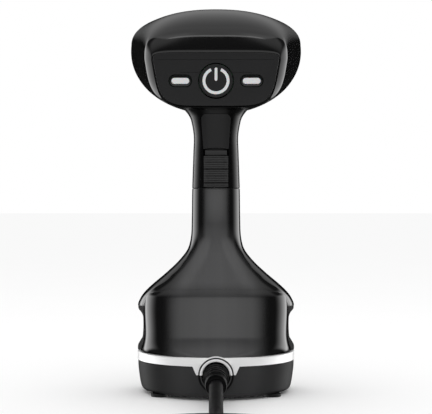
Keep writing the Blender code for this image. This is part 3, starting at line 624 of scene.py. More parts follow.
def smooth_path(route, spacing):
    """Points at about the given spacing on a smooth curve through the route's points."""
    route = [Vector(p) for p in route]
    padded = [2 * route[0] - route[1]] + route + [2 * route[-1] - route[-2]]
    dense = []
    for a, b, c, d in zip(padded, padded[1:], padded[2:], padded[3:]):
        bend, twist = 2 * a - 5 * b + 4 * c - d, 3 * b - a - 3 * c + d
        for step in range(12):
            t = step / 12
            dense.append(0.5 * (2 * b + (c - a) * t + bend * t * t + twist * t**3))
    dense.append(route[-1])
    lengths = [0.0]
    for a, b in zip(dense, dense[1:]):
        lengths.append(lengths[-1] + (b - a).length)
    count = max(2, round(lengths[-1] / spacing))
    points = []
    for n in range(count + 1):
        want = lengths[-1] * n / count
        i = min(k for k in range(1, len(dense)) if lengths[k] >= want - 1e-9)
        t = (want - lengths[i - 1]) / (lengths[i] - lengths[i - 1])
        points.append(dense[i - 1].lerp(dense[i], t))
    return points


def carve(target, operation, *others):
    """Boolean the others into the target, apply the result and remove the others."""
    for other in others:
        change = target.modifiers.new(other.name, "BOOLEAN")
        change.operation = operation
        change.object = other
        change.solver = "EXACT"
    bpy.context.view_layer.update()
    shaped = target.evaluated_get(bpy.context.evaluated_depsgraph_get())
    mesh = bpy.data.meshes.new_from_object(shaped)
    target.modifiers.clear()
    target.data = mesh
    smooth(mesh)
    for other in others:
        bpy.data.objects.remove(other, do_unlink=True)
    return target


def cut(target, *others):
    return carve(target, "DIFFERENCE", *others)


def place(piece, look, *nodes):
    """Give a finished piece its material, and let it stand for its CAD nodes on their body."""
    piece.data.materials.clear()
    piece.data.materials.append(look)
    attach(piece, BODY_OF[nodes[0]])
    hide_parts(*nodes)
    return piece


# Mains cord, coil, tie and plug ----


TURN_PITCH = CORD_DIAMETER + 0.00005
OUTER_TURN = COIL_RADIUS + 1.5 * TURN_PITCH
INNER_TURN = COIL_RADIUS - 1.5 * TURN_PITCH
LOWER_LAYER = 0.0056
UPPER_LAYER = LOWER_LAYER + TURN_PITCH
SWERVE_START = -0.175       # y where the cord leaves its straight line for the coil
CLIMB = 3.35                # turns wound before the cord lies on the upper layer
PLUG_END = Vector((low("plug_sleeve").x, centre("plug_body").y, centre("plug_body").z))


def eased(value):
    value = min(max(value, 0.0), 1.0)
    return value * value * (3 - 2 * value)


def join_angle():
    """Angle on the outer turn at which the cord's swerve from its straight line touches it."""
    reach = SWERVE_START - COIL_CENTRE.y
    swerve = (reach**2 - OUTER_TURN**2) / (2 * OUTER_TURN)
    return math.atan2(reach, -swerve)


def coil_point(turns):
    """Inwards along the floor, up over the innermost turn, then outwards on the upper layer."""
    angle = join_angle() + 2 * math.pi * turns
    radius = max(OUTER_TURN - TURN_PITCH * turns, INNER_TURN)
    radius = max(radius, INNER_TURN + TURN_PITCH * (turns - CLIMB))
    height = LOWER_LAYER + TURN_PITCH * eased((turns - 2.75) / 0.6)
    return Vector((*polar(angle, radius, COIL_CENTRE.x, COIL_CENTRE.y), height))


def leaving_arc():
    """Centre, radius and start angle of the arc from the upper layer to the plug's sleeve."""
    leave = OUTER_TURN - 0.5 * TURN_PITCH
    aside, down = PLUG_END.x - COIL_CENTRE.x, COIL_CENTRE.y - PLUG_END.y
    radius = (aside**2 + down**2 - leave**2) / (2 * (down - leave))
    middle = Vector((PLUG_END.x, PLUG_END.y + radius, 0))
    return middle, radius, math.atan2(middle.y - COIL_CENTRE.y, aside) % (2 * math.pi)


def cord_points():
    """Along the floor, round the coil's turns in two layers, then up to the plug."""
    middle, radius, leave_angle = leaving_arc()
    whole_turns = 6
    last = whole_turns + (leave_angle - join_angle()) / (2 * math.pi)
    steps = round(last * 24)
    route = [tuple(BOOT_END - BOOT_AXIS * 0.004)] + CORD_ROUTE[1:]
    route += [coil_point(last * k / steps) for k in range(steps + 1)]
    start_height = route[-1].z
    sweep = 1.5 * math.pi - leave_angle
    for k in range(1, 9):
        angle = leave_angle + sweep * k / 8
        height = start_height + (PLUG_END.z - start_height) * eased(k / 8)
        route.append(Vector((*polar(angle, radius, middle.x, middle.y), height)))
    route.append(PLUG_END + Vector((0.002, 0, 0)))
    return smooth_path(route, 0.006)


def make_cord(boot):
    """Mains cord from its boot to the plug, wound into a tied coil past the view's lower edge."""
    points = cord_points()
    curve = bpy.data.curves.new("mains_cord_jacket", "CURVE")
    curve.dimensions = "3D"
    curve.bevel_depth = CORD_DIAMETER / 2
    curve.bevel_resolution = 6
    curve.use_fill_caps = True
    line = curve.splines.new("POLY")
    line.points.add(len(points) - 1)
    for spot, point in zip(line.points, points):
        spot.co = (*point, 1.0)
    line.use_smooth = True
    cord = add("mains_cord_jacket", curve)
    place(cord, cord_black, "mains_cord", "cord_coil")
    on_cord = [boot, make_tie()] + make_plug()
    for piece in [cord] + on_cord[1:]:
        piece.visible_glossy = False


def make_tie():
    """Strap drawn round the turns, its free end lapped over and pressed down on top."""
    thickness = 0.0009
    lowest, highest = LOWER_LAYER - CORD_DIAMETER / 2, UPPER_LAYER + CORD_DIAMETER / 2
    inner, outer = INNER_TURN - CORD_DIAMETER / 2 - 0.0002, OUTER_TURN + CORD_DIAMETER / 2 + 0.0002
    corner = CORD_DIAMETER / 2
    loops = []
    for grow in (0.0, thickness):
        loop = []
        corners = ((outer, highest, 0), (inner, highest, 90), (inner, lowest, 180), (outer, lowest, 270))
        for x, z, start in corners:
            mid_x = x - math.copysign(corner, x - COIL_RADIUS)
            mid_z = z - math.copysign(corner, z - UPPER_LAYER + 0.005)
            for k in range(9):
                angle = math.radians(start + 90 * k / 8)
                reach = corner + min(grow, lowest - 0.0001 if start >= 180 else grow)
                loop.append(polar(angle, reach, mid_x, mid_z))
        loops.append(loop)
    half = 0.0040
    rings = []
    for side, loop in ((-1, 0), (1, 0), (1, 1), (-1, 1)):
        rings.append([Vector((x, COIL_CENTRE.y + side * half, z)) for x, z in loops[loop]])
    strap = skin("cord_tie_strap", rings, closed_path=True)
    lap_low = (inner + 0.004, COIL_CENTRE.y - half, highest + thickness * 0.6)
    lap_high = (inner + 0.027, COIL_CENTRE.y + half, highest + thickness * 1.9)
    carve(strap, "UNION", box(lap_low, lap_high, edge=0.0004))
    return place(strap, strap_nylon, "cord_tie")


# along the plug from its middle, half width, half height
PLUG_STATIONS = [
    (-0.0140, 0.0074, 0.0058),
    (-0.0120, 0.0098, 0.0062),
    (-0.0090, 0.0116, 0.0064),
    (-0.0040, 0.0104, 0.0058),
    (0.0010, 0.0104, 0.0058),
    (0.0060, 0.0118, 0.0066),
    (0.0100, 0.0122, 0.0068),
    (0.0130, 0.0120, 0.0066),
]


def make_plug():
    """Flat plug with a waisted grip, a ribbed sleeve and two drilled blades."""
    middle = Vector((high("plug_body").x - 0.0130, centre("plug_body").y, centre("plug_body").z))

    def section(along, inset):
        half_width, half_height = between(along, PLUG_STATIONS)
        ring = []
        for c, s in circle(96):
            across, up = (half_width - inset) * power_of(c, 0.55), (half_height - inset) * power_of(s, 0.55)
            ring.append(middle + Vector((along, across, up)))
        return ring

    body = skin("plug_moulding", stack(section, -0.0140, 0.0130, 34, 0.0012, 0.0010))
    ridges = []
    for side in (-1, 1):
        for i in range(5):
            along = -0.0055 + 0.0026 * i
            near = middle + Vector((along, side * 0.0130, -0.0042))
            ridges.append(box(near, near + Vector((0.0011, side * -0.0036, 0.0084))))
    place(cut(body, *ridges), soft_black, "plug_body")

    length = high("plug_sleeve").x - low("plug_sleeve").x
    profile = [(0.0, 0.0064), (0.0016, 0.0066)]
    for i in range(5):
        along, radius = 0.0030 + 0.0032 * i, 0.0066 - 0.00019 * (i + 1)
        for step, sink in ((0.0, 0.0), (0.0003, 0.0009), (0.0012, 0.0009), (0.0015, 0.0)):
            profile.append((along + step, radius - sink))
    profile += [(length - 0.0004, 0.0057), (length, 0.0054)]
    root = Vector((high("plug_sleeve").x, middle.y, middle.z))
    sleeve = turned(profile, root, (-1, 0, 0), "plug_strain_relief", 64)
    place(sleeve, soft_black, "plug_sleeve")

    pieces = [body, sleeve]
    for i in (1, 2):
        node = f"plug_blade_{i}"
        near, far = low(node), high(node)
        mid_z, half = (near.z + far.z) / 2, (far.z - near.z) / 2
        outline = [(near.x, mid_z - half), (far.x - 0.0022, mid_z - half), (far.x, mid_z - half + 0.0016)]
        outline += [(x, 2 * mid_z - z) for x, z in outline[::-1]]
        blade = prism(outline, near.y, far.y, f"plug_pin_{i}")
        spot = (far.x - 0.0047, near.y - 0.004, mid_z)
        hole = turned([(0, 0.0016), (0.01, 0.0016)], spot, (0, 1, 0), count=32)
        pieces.append(place(cut(blade, hole), blade_nickel, node))
    return pieces


# Base ----

# height, half width, distance in from the rear and front faces
BASE_HALF_WIDTH = high("trim_band").x
BASE_REAR = -0.050
BASE_FRONT = 0.050
BASE_WAIST = 0.012
BASE_STATIONS = [
    (BASE_BOTTOM, 0.0610, 0.0035),
    (0.0045, 0.0624, 0.0022),
    (0.0094, 0.0637, 0.0012),
    (0.0160, 0.0647, 0.0005),
    (0.0227, 0.0654, 0.0001),
    (BAND_TOP, BASE_HALF_WIDTH, 0.0),
]


def base_ring(z, inset=0.0):
    half_width, step = between(z, BASE_STATIONS)
    rear, front = BASE_REAR + step + inset, BASE_FRONT - step - inset
    return plan_section(z, half_width - inset, rear, front, BASE_WAIST, 2.05, 3.6)


def outlet_bore(radius):
    return turned([(0, radius), (0.03, radius)], (0, -0.062, OUTLET.z), (0, 1, 0), count=96)


def tab_outline(margin):
    """Trapezoid below the trim band, round the cord outlet."""
    half_top, half_bottom = 0.0187 + margin, 0.0157 + margin
    corners = [(half_top, BAND_BOTTOM + 0.02), (half_top, BAND_BOTTOM), (half_bottom, OUTLET.z - margin)]
    return [(-x, z) for x, z in corners] + corners[::-1]


def make_base():
    top = BAND_BOTTOM - GAP
    outer = stack(base_ring, BASE_BOTTOM, top, 26, 0.0006, 0.0004, 0.0004)
    inner = stack(base_ring, top, BASE_BOTTOM, 20, 0.0, 0.0, 0.0034)
    housing = skin("base_housing_shell", outer + inner, closed_path=True)
    cut(housing, prism(tab_outline(GAP), -0.07, -0.02), outlet_bore(OUTLET_BORE))
    place(housing, base_black, "base_housing")

    outer = stack(base_ring, OUTLET.z - 0.004, BAND_TOP, 24, 0.0, 0.0006)
    inner = stack(base_ring, BAND_TOP, OUTLET.z - 0.004, 20, 0.0, 0.0, 0.0024)
    band = skin("trim_band_metal", outer + inner, closed_path=True)
    notched = [(-0.08, 0.01), (-0.08, BAND_BOTTOM)] + tab_outline(0.0)[1:-1]
    notched += [(0.08, BAND_BOTTOM), (0.08, 0.01)]
    cut(band, prism(notched, -0.07, 0.0), box((-0.08, -0.0005, 0.01), (0.08, 0.08, BAND_BOTTOM)))
    collar = turned([(0, COLLAR), (0.0035, COLLAR)], OUTLET + Vector((0, 0.0004, 0)), (0, 1, 0), count=96)
    carve(band, "UNION", cut(collar, box((-0.03, -0.07, 0.0), (0.03, -0.03, BAND_BOTTOM + 0.002))))
    place(cut(band, outlet_bore(OUTLET_BORE)), band_metal, "trim_band")

    plate = stack(base_ring, BASE_BOTTOM, high("bottom_cover").z, 6, 0.0004, 0.0004, 0.0042)
    cover = skin("bottom_cover_plate", plate)
    ribs = []
    for i in range(-3, 4):
        ribs.append(box((-0.018, 0.004 + 0.004 * i, 0.0), (0.018, 0.0056 + 0.004 * i, BASE_BOTTOM + 0.0006)))
    place(cut(cover, *ribs), satin_black, "bottom_cover")

    for i in range(1, 5):
        foot, spot = f"foot_{i}", centre(f"foot_{i}")
        radius, height = (high(foot).x - low(foot).x) / 2, high(foot).z
        profile = [(0, radius - 0.0002), (height * 0.55, radius), (height, radius)]
        pad = turned(rounded(profile, 0.0007), (spot.x, spot.y, 0), (0, 0, 1), f"rubber_foot_{i}", 64)
        cut(pad, turned([(-0.001, 0.0042), (0.0005, 0.0034)], (spot.x, spot.y, 0), (0, 0, 1), count=48))
        place(pad, soft_black, foot)
        screw, spot = f"bottom_screw_{i}", centre(f"bottom_screw_{i}")
        head = turned(
            rounded([(0, 0.0026), (0.0006, 0.0030), (0.0011, 0.0030)], 0.0003),
            (spot.x, spot.y, low(screw).z),
            (0, 0, 1),
            f"cross_head_{i}",
            40,
        )
        for arm in ((0.0017, 0.00035), (0.00035, 0.0017)):
            depth = low(screw).z + 0.0007
            cut(head, box((spot.x - arm[0], spot.y - arm[1], 0), (spot.x + arm[0], spot.y + arm[1], depth)))
        place(head, plain_steel, screw)


def make_outlet():
    """Bright upper half and black lower half of the ring round the cord, in a dark seam."""
    depth = high("outlet_trim_upper").y - OUTLET.y
    bevel, hole = 0.0005, 0.0108
    profile = [(0.0, OUTLET_RIM - bevel), (bevel * 0.3, OUTLET_RIM - bevel * 0.3), (bevel, OUTLET_RIM)]
    profile += [(depth, OUTLET_RIM), (depth, hole), (bevel, hole), (bevel * 0.3, hole + bevel * 0.3)]
    profile.append((0.0, hole + bevel))
    halves = (
        ("outlet_trim_upper", "outlet_trim_upper_half", band_metal, -1),
        ("outlet_ring_lower", "outlet_ring_lower_half", inner_black, 1),
    )
    for node, name, look, way in halves:
        half = turned(profile, OUTLET, (0, 1, 0), name, 120, closed_path=True)
        ends = sorted((OUTLET.z - way * GAP / 2, OUTLET.z + way * 0.03))
        cut(half, box((-0.03, -0.07, ends[0]), (0.03, -0.03, ends[1])))
        place(half, look, node)
    seam = [(0.0001, OUTLET_RIM), (0.0001, OUTLET_BORE), (depth, OUTLET_BORE), (depth, OUTLET_RIM)]
    gasket = turned(seam, OUTLET, (0, 1, 0), "outlet_seam_gasket", 120, closed_path=True)
    place(gasket, boot_black, "outlet_ring_lower")


def make_boot():
    """Tapered strain relief: ribs that shrink towards a plain collar, bored for the cord."""
    length = (BOOT_END - BOOT_ROOT).length
    profile = [(0.0, 0.0097), (0.004, 0.0101), (0.16, 0.0101)]
    ribs, sunk = 5, 0.0022
    rib = ((0.0, 0.0003), (0.008, sunk), (0.058, sunk), (0.066, 0.0003), (0.076, 0.0), (0.118, 0.0))
    for i in range(ribs):
        along = 0.17 + 0.66 * i / ribs
        radius = 0.0102 - 0.0020 * i / ribs
        for step, sink in rib:
            profile.append((along + step, radius - sink))
    profile += [(0.855, 0.0078), (0.862, 0.0076), (0.872, 0.0080), (0.885, 0.0084)]
    profile += [(0.975, 0.0084), (0.995, 0.0080), (1.0, 0.0074)]
    boot = turned([(a * length, r) for a, r in profile], BOOT_ROOT, BOOT_AXIS, "ribbed_boot", 72)
    bore = turned([(0, 0.0057), (0.01, 0.0057)], BOOT_END - 0.005 * BOOT_AXIS, BOOT_AXIS, count=48)
    return place(cut(boot, bore), boot_black, "cord_boot")


# Lower body with the tank ----

# height, half width, rear, front, rear power, front power
HANDLE_STATIONS = [
    (SKIRT_BOTTOM, 0.0647, -0.0400, 0.0480, 2.4, 3.6),
    (0.0760, 0.0639, -0.0412, 0.0475, 2.7, 3.6),
    (0.0824, 0.0602, -0.0433, 0.0455, 3.5, 3.6),
    (0.0890, 0.0537, -0.0416, 0.0410, 4.4, 3.6),
    (0.0990, 0.0419, -0.0369, 0.0345, 4.6, 3.4),
    (0.1090, 0.0313, -0.0322, 0.0285, 4.2, 3.0),
    (0.1190, 0.0236, -0.0275, 0.0240, 3.6, 2.7),
    (0.1290, 0.0208, -0.0230, 0.0215, 3.2, 2.5),
    (0.1420, 0.0201, -0.0204, 0.0205, 3.0, 2.4),
    (0.1695, 0.0197, -0.0200, 0.0200, 3.0, 2.4),
    (0.2000, 0.0187, -0.0196, 0.0200, 3.0, 2.4),
    (0.2120, 0.0184, -0.0196, 0.0200, 3.0, 2.4),
    (0.2220, 0.0198, -0.0200, 0.0205, 3.0, 2.4),
    (0.2290, 0.0220, -0.0208, 0.0215, 2.8, 2.4),
    (0.2360, 0.0275, -0.0228, 0.0230, 2.6, 2.4),
    (0.2430, 0.0350, -0.0260, 0.0250, 2.6, 2.4),
]

# height, half width, rear, rear power
WALL_STATIONS = [
    (BAND_TOP + GAP, 0.0630, -0.0482, 2.3),
    (0.0380, 0.0621, -0.0470, 3.0),
    (0.0420, 0.0606, -0.0456, 3.7),
    (0.0460, 0.0595, -0.0446, 4.2),
    (0.0510, 0.0590, -0.0440, 4.4),
    (0.0820, 0.0590, -0.0440, 4.4),
    (0.0880, 0.0535, -0.0426, 4.4),
]
WALL_INSIDE = (0.0565, -0.0415)     # half width and rear of the room inside the wall
CREASE = 0.0865


def handle_ring(z, inset=0.0):
    half_width, rear, front, rear_power, front_power = between(z, HANDLE_STATIONS)
    return plan_section(z, half_width - inset, rear + inset, front - inset, 0.0, rear_power, front_power)


def wall_ring(z, inset=0.0):
    half_width, rear, rear_power = between(z, WALL_STATIONS)
    return plan_section(z, half_width - inset, rear + inset, 0.040 - inset, SHELL_SPLIT, rear_power, 4.0)


def cavity_ring(z, inset=0.0):
    """Inside of the lower body above the wall's room."""
    half_width, rear, front, rear_power, front_power = between(z, HANDLE_STATIONS)
    wall = 0.0045 if z < 0.115 else 0.003
    rear = WALL_INSIDE[1] if z < CREASE else rear + wall
    half_width = min(half_width - wall, WALL_INSIDE[0])
    return plan_section(z, half_width, rear, front - wall, 0.0, rear_power, front_power)


def lower_cavity():
    lowest = [cavity_ring(0.078), cavity_ring(CREASE - 0.0005)]
    return skin("cutter", lowest + stack(cavity_ring, 0.0895, SEAM + 0.002, 24))


def make_lower_shells():
    top = SEAM - GAP
    rear = skin("rear_body_shell", stack(handle_ring, SKIRT_BOTTOM, top, 84, 0.0006, 0.0004))
    wall = skin("cutter", stack(wall_ring, BAND_TOP + GAP, 0.0880, 44, 0.0004, 0.0))
    carve(rear, "UNION", wall)
    room = skin("cutter", stack(wall_ring, BAND_TOP - 0.003, 0.0785, 20, 0.0, 0.0, SHELL))
    cut(rear, lower_cavity(), room, box((-PAST, SHELL_SPLIT, 0.02), (PAST, PAST, 0.2)))
    place(rear, smoky_body, "rear_shell")

    front = skin("front_body_shell", stack(handle_ring, SKIRT_BOTTOM, top, 84, 0.0006, 0.0004))
    cut(front, lower_cavity(), box((-0.055, -0.06, 0.06), (0.055, 0.0425, 0.0785)))
    cut(front, box((-PAST, -PAST, 0.02), (PAST, SHELL_SPLIT + GAP, 0.2)))
    place(front, gloss_black, "front_shell")


# height, half width, front: shoulder, finger recess and flared foot
TANK_BOTTOM = low("water_tank").z
TANK_TOP = high("water_tank").z
TANK_REAR = low("water_tank").y
TANK_STATIONS = [
    (TANK_BOTTOM, 0.0652, 0.0492),
    (0.0393, 0.0650, 0.0490),
    (0.0430, 0.0630, 0.0478),
    (0.0465, 0.0612, 0.0465),
    (0.0620, 0.0608, 0.0462),
    (0.0660, 0.0622, 0.0468),
    (0.0692, 0.0646, 0.0478),
    (TANK_TOP, 0.0650, 0.0480),
]
FILLER = Vector((0.0, 0.0470, 0.0575))


def tank_ring(z, inset=0.0):
    half_width, front = between(z, TANK_STATIONS)
    return plan_section(z, half_width - inset, -0.030, front - inset, 0.004, 6.0, 3.6)


def tank_rear_ring(z, inset=0.0):
    return plan_section(z, 0.0525 - inset, TANK_REAR + inset, 0.0200, SHELL_SPLIT, 5.0, 4.0)


def make_tank():
    wall = 0.0026
    tank = skin("smoked_water_tank", stack(tank_ring, TANK_BOTTOM, TANK_TOP, 44, 0.0008, 0.0008))
    cut(tank, box((-PAST, -PAST, 0.02), (PAST, SHELL_SPLIT + GAP, 0.1)))
    carve(tank, "UNION", skin("cutter", stack(tank_rear_ring, TANK_BOTTOM, 0.0700, 4, 0.0008, 0.0008)))
    inside = skin("cutter", stack(tank_ring, TANK_BOTTOM + wall, 0.0704, 30, 0.0, 0.0, wall))
    cut(inside, box((-PAST, -PAST, 0.02), (PAST, SHELL_SPLIT + wall, 0.1)))
    rear_inside = skin("cutter", stack(tank_rear_ring, TANK_BOTTOM + wall, 0.0676, 3, 0.0, 0.0, wall))
    mouth = turned([(0, 0.0068), (0.02, 0.0068)], (0, 0.035, FILLER.z), (0, 1, 0), count=64)
    carve(inside, "UNION", rear_inside, mouth)
    place(cut(tank, inside), smoked, "water_tank")

    cap = turned(rounded([(0, 0.0085), (0.0024, 0.0085)], 0.0007), FILLER, (0, 1, 0), "filler_cap_disc", 72)
    neck = turned([(0, 0.0058), (0.004, 0.0058)], FILLER - Vector((0, 0.0035, 0)), (0, 1, 0), count=48)
    lug = box(FILLER + Vector((-0.004, 0, -0.0105)), FILLER + Vector((0.004, 0.0016, -0.006)), edge=0.0004)
    carve(cap, "UNION", neck, lug)
    dish = turned([(0, 0.0052), (0.002, 0.0058)], FILLER + Vector((0, 0.0019, 0)), (0, 1, 0), count=48)
    place(cut(cap, dish), soft_black, "filler_cap")


# Upper handle ----

GRIP_WALL = 0.0032
STRIP_DEPTH = 0.0015
GRIP_REACH = (-0.04, -0.005)    # y from outside the handle to inside its rear wall


def strip_outline(margin=0.0):
    """Long rear strip, wider and round-shouldered at its top."""
    half_top, half_bottom, top, bottom, corner = 0.0121, 0.0103, 0.2297, 0.2012, 0.004
    points = []
    for i in range(-4, 5):
        points.append(((half_bottom + margin) * i / 4, bottom - margin + 0.0011 * (1 - (i / 4) ** 2)))
    for side in (1, -1):
        arc = []
        for i in range(9):
            x, z = polar(math.radians(90 * i / 8), corner + margin, half_top - corner, top - corner)
            arc.append((side * x, z))
        points += arc if side > 0 else arc[::-1]
    return points


def rib_outline():
    """Ribbed insert below the strip, stepped in at its top."""
    top, step, bottom = 0.2003, 0.1957, 0.1706
    half, narrow = 0.0100, 0.0089
    right = [(half, bottom), (half, step), (narrow, step), (narrow, top)]
    return [(-x, z) for x, z in right[:1]] + right + [(-x, z) for x, z in right[:0:-1]]


def grip_loft(inset):
    return skin("cutter", stack(handle_ring, SEAM - 0.002, HANDLE_TOP + 0.002, 60, 0.0, 0.0, inset))


def make_handle():
    rear = skin("handle_rear_cover", stack(handle_ring, SEAM, HANDLE_TOP, 76, 0.0004, 0.0))
    cut(rear, grip_loft(GRIP_WALL), box((-0.05, -GAP / 2, 0.1), (0.05, 0.05, 0.3)))
    cut(rear, cut(prism(strip_outline(GAP), *GRIP_REACH), grip_loft(STRIP_DEPTH + GAP)))
    pocket = box((-0.0103, GRIP_REACH[0], 0.1703), (0.0103, GRIP_REACH[1], 0.2016))
    cut(rear, cut(pocket, grip_loft(STRIP_DEPTH + 0.0010)))
    place(rear, handle_black, "handle_rear_shell")

    strip = prism(strip_outline(), *GRIP_REACH, "matte_grip_strip")
    cut(carve(strip, "INTERSECT", grip_loft(0.0)), grip_loft(STRIP_DEPTH))
    place(strip, grip_black, "grip_strip")
    insert = prism(rib_outline(), *GRIP_REACH, "ribbed_grip_insert")
    cut(carve(insert, "INTERSECT", grip_loft(0.0)), grip_loft(STRIP_DEPTH))
    grooves = []
    for i in range(14):
        z = RIB_TOP - RIB_PITCH * i / 3
        reach, half, depth = (0.0085, 0.0005, 0.0009) if i % 3 == 0 else (0.0070, 0.0003, 0.0004)
        groove = box((-reach, -0.03, z - half), (reach, -0.015, z + half))
        grooves.append(cut(groove, grip_loft(depth)))
    place(cut(insert, *grooves), rib_black, "ribbed_insert")

    front = skin("handle_front_cover", stack(handle_ring, SEAM, HANDLE_TOP, 76, 0.0004, 0.0))
    cut(front, grip_loft(GRIP_WALL), box((-0.05, -0.05, 0.1), (0.05, GAP / 2, 0.3)))
    cut(front, box((-0.0075, 0.005, 0.1825), (0.0075, 0.05, 0.2305)))
    cut(front, box((-0.0034, 0.005, 0.1724), (0.0034, 0.05, 0.1804)))
    place(front, handle_black, "handle_front_shell")

    side = [
        (0.0100, 0.2285),
        (0.0195, 0.2290),
        (0.0240, 0.2270),
        (0.0258, 0.2220),
        (0.0262, 0.2080),
        (0.0275, 0.1950),
        (0.0290, 0.1880),
        (0.0270, 0.1845),
        (0.0120, 0.1855),
        (0.0105, 0.2000),
    ]
    middle = Vector((0.0, 0.0200, 0.2060))
    rings = []
    for x, fit in ((-0.0070, 0.90), (-0.0067, 0.95), (-0.0060, 0.985), (-0.0050, 1.0)):
        level = Vector((x, middle.y, middle.z))
        rings.append([level + fit * Vector((0, y - middle.y, z - middle.z)) for y, z in side])
    rings += [[Vector((-p.x, p.y, p.z)) for p in ring] for ring in rings[::-1]]
    trigger = skin("finger_trigger", rings)
    grips = []
    for i in range(6):
        z = 0.2140 - 0.0036 * i
        grips.append(box((-0.0045, 0.0255, z - 0.0004), (0.0045, 0.0400, z + 0.0004)))
    place(cut(trigger, *grips), satin_black, "trigger")
    lock = box((-0.0060, 0.0205, 0.1712), (0.0060, 0.0232, 0.1775), "trigger_lock_slider", 0.0007)
    carve(lock, "UNION", box((-0.0030, 0.0135, 0.1728), (0.0030, 0.0215, 0.1760)))
    place(lock, satin_black, "trigger_lock")


# Head ----


def head_ring(y, inset=0.0):
    """Section of the head at y, growing from the panel's rim to the oval and rounding off in front."""
    grown = min(max((y - HEAD_REAR) / (HEAD_WIDEST - HEAD_REAR), 0.0), 1.0)
    dome = math.sqrt(1 - (1 - grown) ** 2)
    corner = 1 - min(grown / 0.1, 1.0)
    flank = 0.2 * (1 - corner ** 1.6) + 0.8 * grown
    past = max((y - HEAD_FRONT) / (BEZEL_FRONT + 0.004 - HEAD_FRONT), 0.0)
    inset += 0.0085 * (1 - math.sqrt(max(1 - past * past, 0.0)))
    return upright_section(
        y,
        0.0515 + 0.0201 * flank - inset,
        0.2705 + 0.0201 * grown,
        0.2780 + 0.0420 * dome - inset,
        0.2328 + inset,
        5.5 - 3.3 * math.sqrt(dome),
        5.5 - 3.5 * dome,
        0.13 - 0.22 * grown,
    )


def panel_ring(y, inset):
    return upright_section(y, 0.0500 - inset, 0.2705, 0.2765 - inset, 0.2342 + inset, 5.5, 5.5, 0.13)


def eased_levels(first, last, steps):
    """Levels that crowd towards the first one, where the dome turns fastest."""
    return [first + (last - first) * (k / steps) ** 2 for k in range(steps + 1)]


def make_head():
    outer = [head_ring(y) for y in eased_levels(HEAD_REAR, HEAD_WIDEST, 56)]
    outer += [head_ring(y) for y in (0.0215, 0.0235, 0.0255, HEAD_FRONT)]
    levels = (HEAD_FRONT, 0.020, 0.007, -0.006, -0.018, -0.028, -0.036, -0.041, PANEL_SEAT)
    inner = [head_ring(y, SHELL) for y in levels]
    inner += [panel_ring(PANEL_SEAT, -GAP), panel_ring(HEAD_REAR + 0.0006, -GAP)]
    inner.append(panel_ring(HEAD_REAR + 0.0002, -GAP - 0.0002))
    shell = skin("glossy_head_shell", outer + inner, closed_path=True)
    cut(shell, skin("cutter", stack(handle_ring, 0.2200, HANDLE_TOP, 20, 0.0, 0.0, -GAP)))
    place(shell, gloss_black, "head_shell")

    opening = 0.0090
    outer = stack(head_ring, HEAD_FRONT + GAP, BEZEL_FRONT, 24, 0.0003, 0.0003)
    flat = [Vector((p.x, 0, p.z)) for p in head_ring(HEAD_WIDEST, opening)]
    levels = (BEZEL_FRONT, BEZEL_FRONT - 0.006, HEAD_FRONT + GAP)
    inner = [[p + Vector((0, y, 0)) for p in flat] for y in levels]
    place(skin("plate_bezel", outer + inner, closed_path=True), satin_black, "head_bezel")

    def plate_ring(y, inset):
        return [Vector((p.x, y, p.z)) for p in head_ring(HEAD_WIDEST, 0.0094 + inset)]

    plate = skin("steam_plate_face", stack(plate_ring, low("steam_plate").y, PLATE_FRONT, 4, 0.0, 0.0016))
    bore = [(0, 0.0016), (0.0162, 0.0016), (0.0175, 0.0026)]
    holes = [turned(bore, (x, 0.0345, z), (0, 1, 0), count=28) for x, z in steam_hole_places()]
    place(cut(plate, *holes), plate_metal, "steam_plate")


def steam_hole_places():
    """Holes round an oval, with a short row inside it."""
    middle, half_length, half_height, spacing, count = 0.2800, 0.048, 0.021, 0.013, 14
    places = []
    for i in range(count):
        across, up = polar(2 * math.pi * (i + 0.5) / count)
        places.append((half_length * across, middle + half_height * up))
    return places + [(spacing * (i - 2), middle) for i in range(5)]


BUTTON_RADIUS = 0.0133
BUTTON_HOLE = 0.0143

# half length and end radius of each pill-shaped outline of a lamp
LAMP_POCKET = (0.0094, 0.0050)
LAMP_RIM = (0.0088, 0.0044)
LAMP_OPENING = (0.0073, 0.0026)
LAMP_LENS = (0.0071, 0.0024)


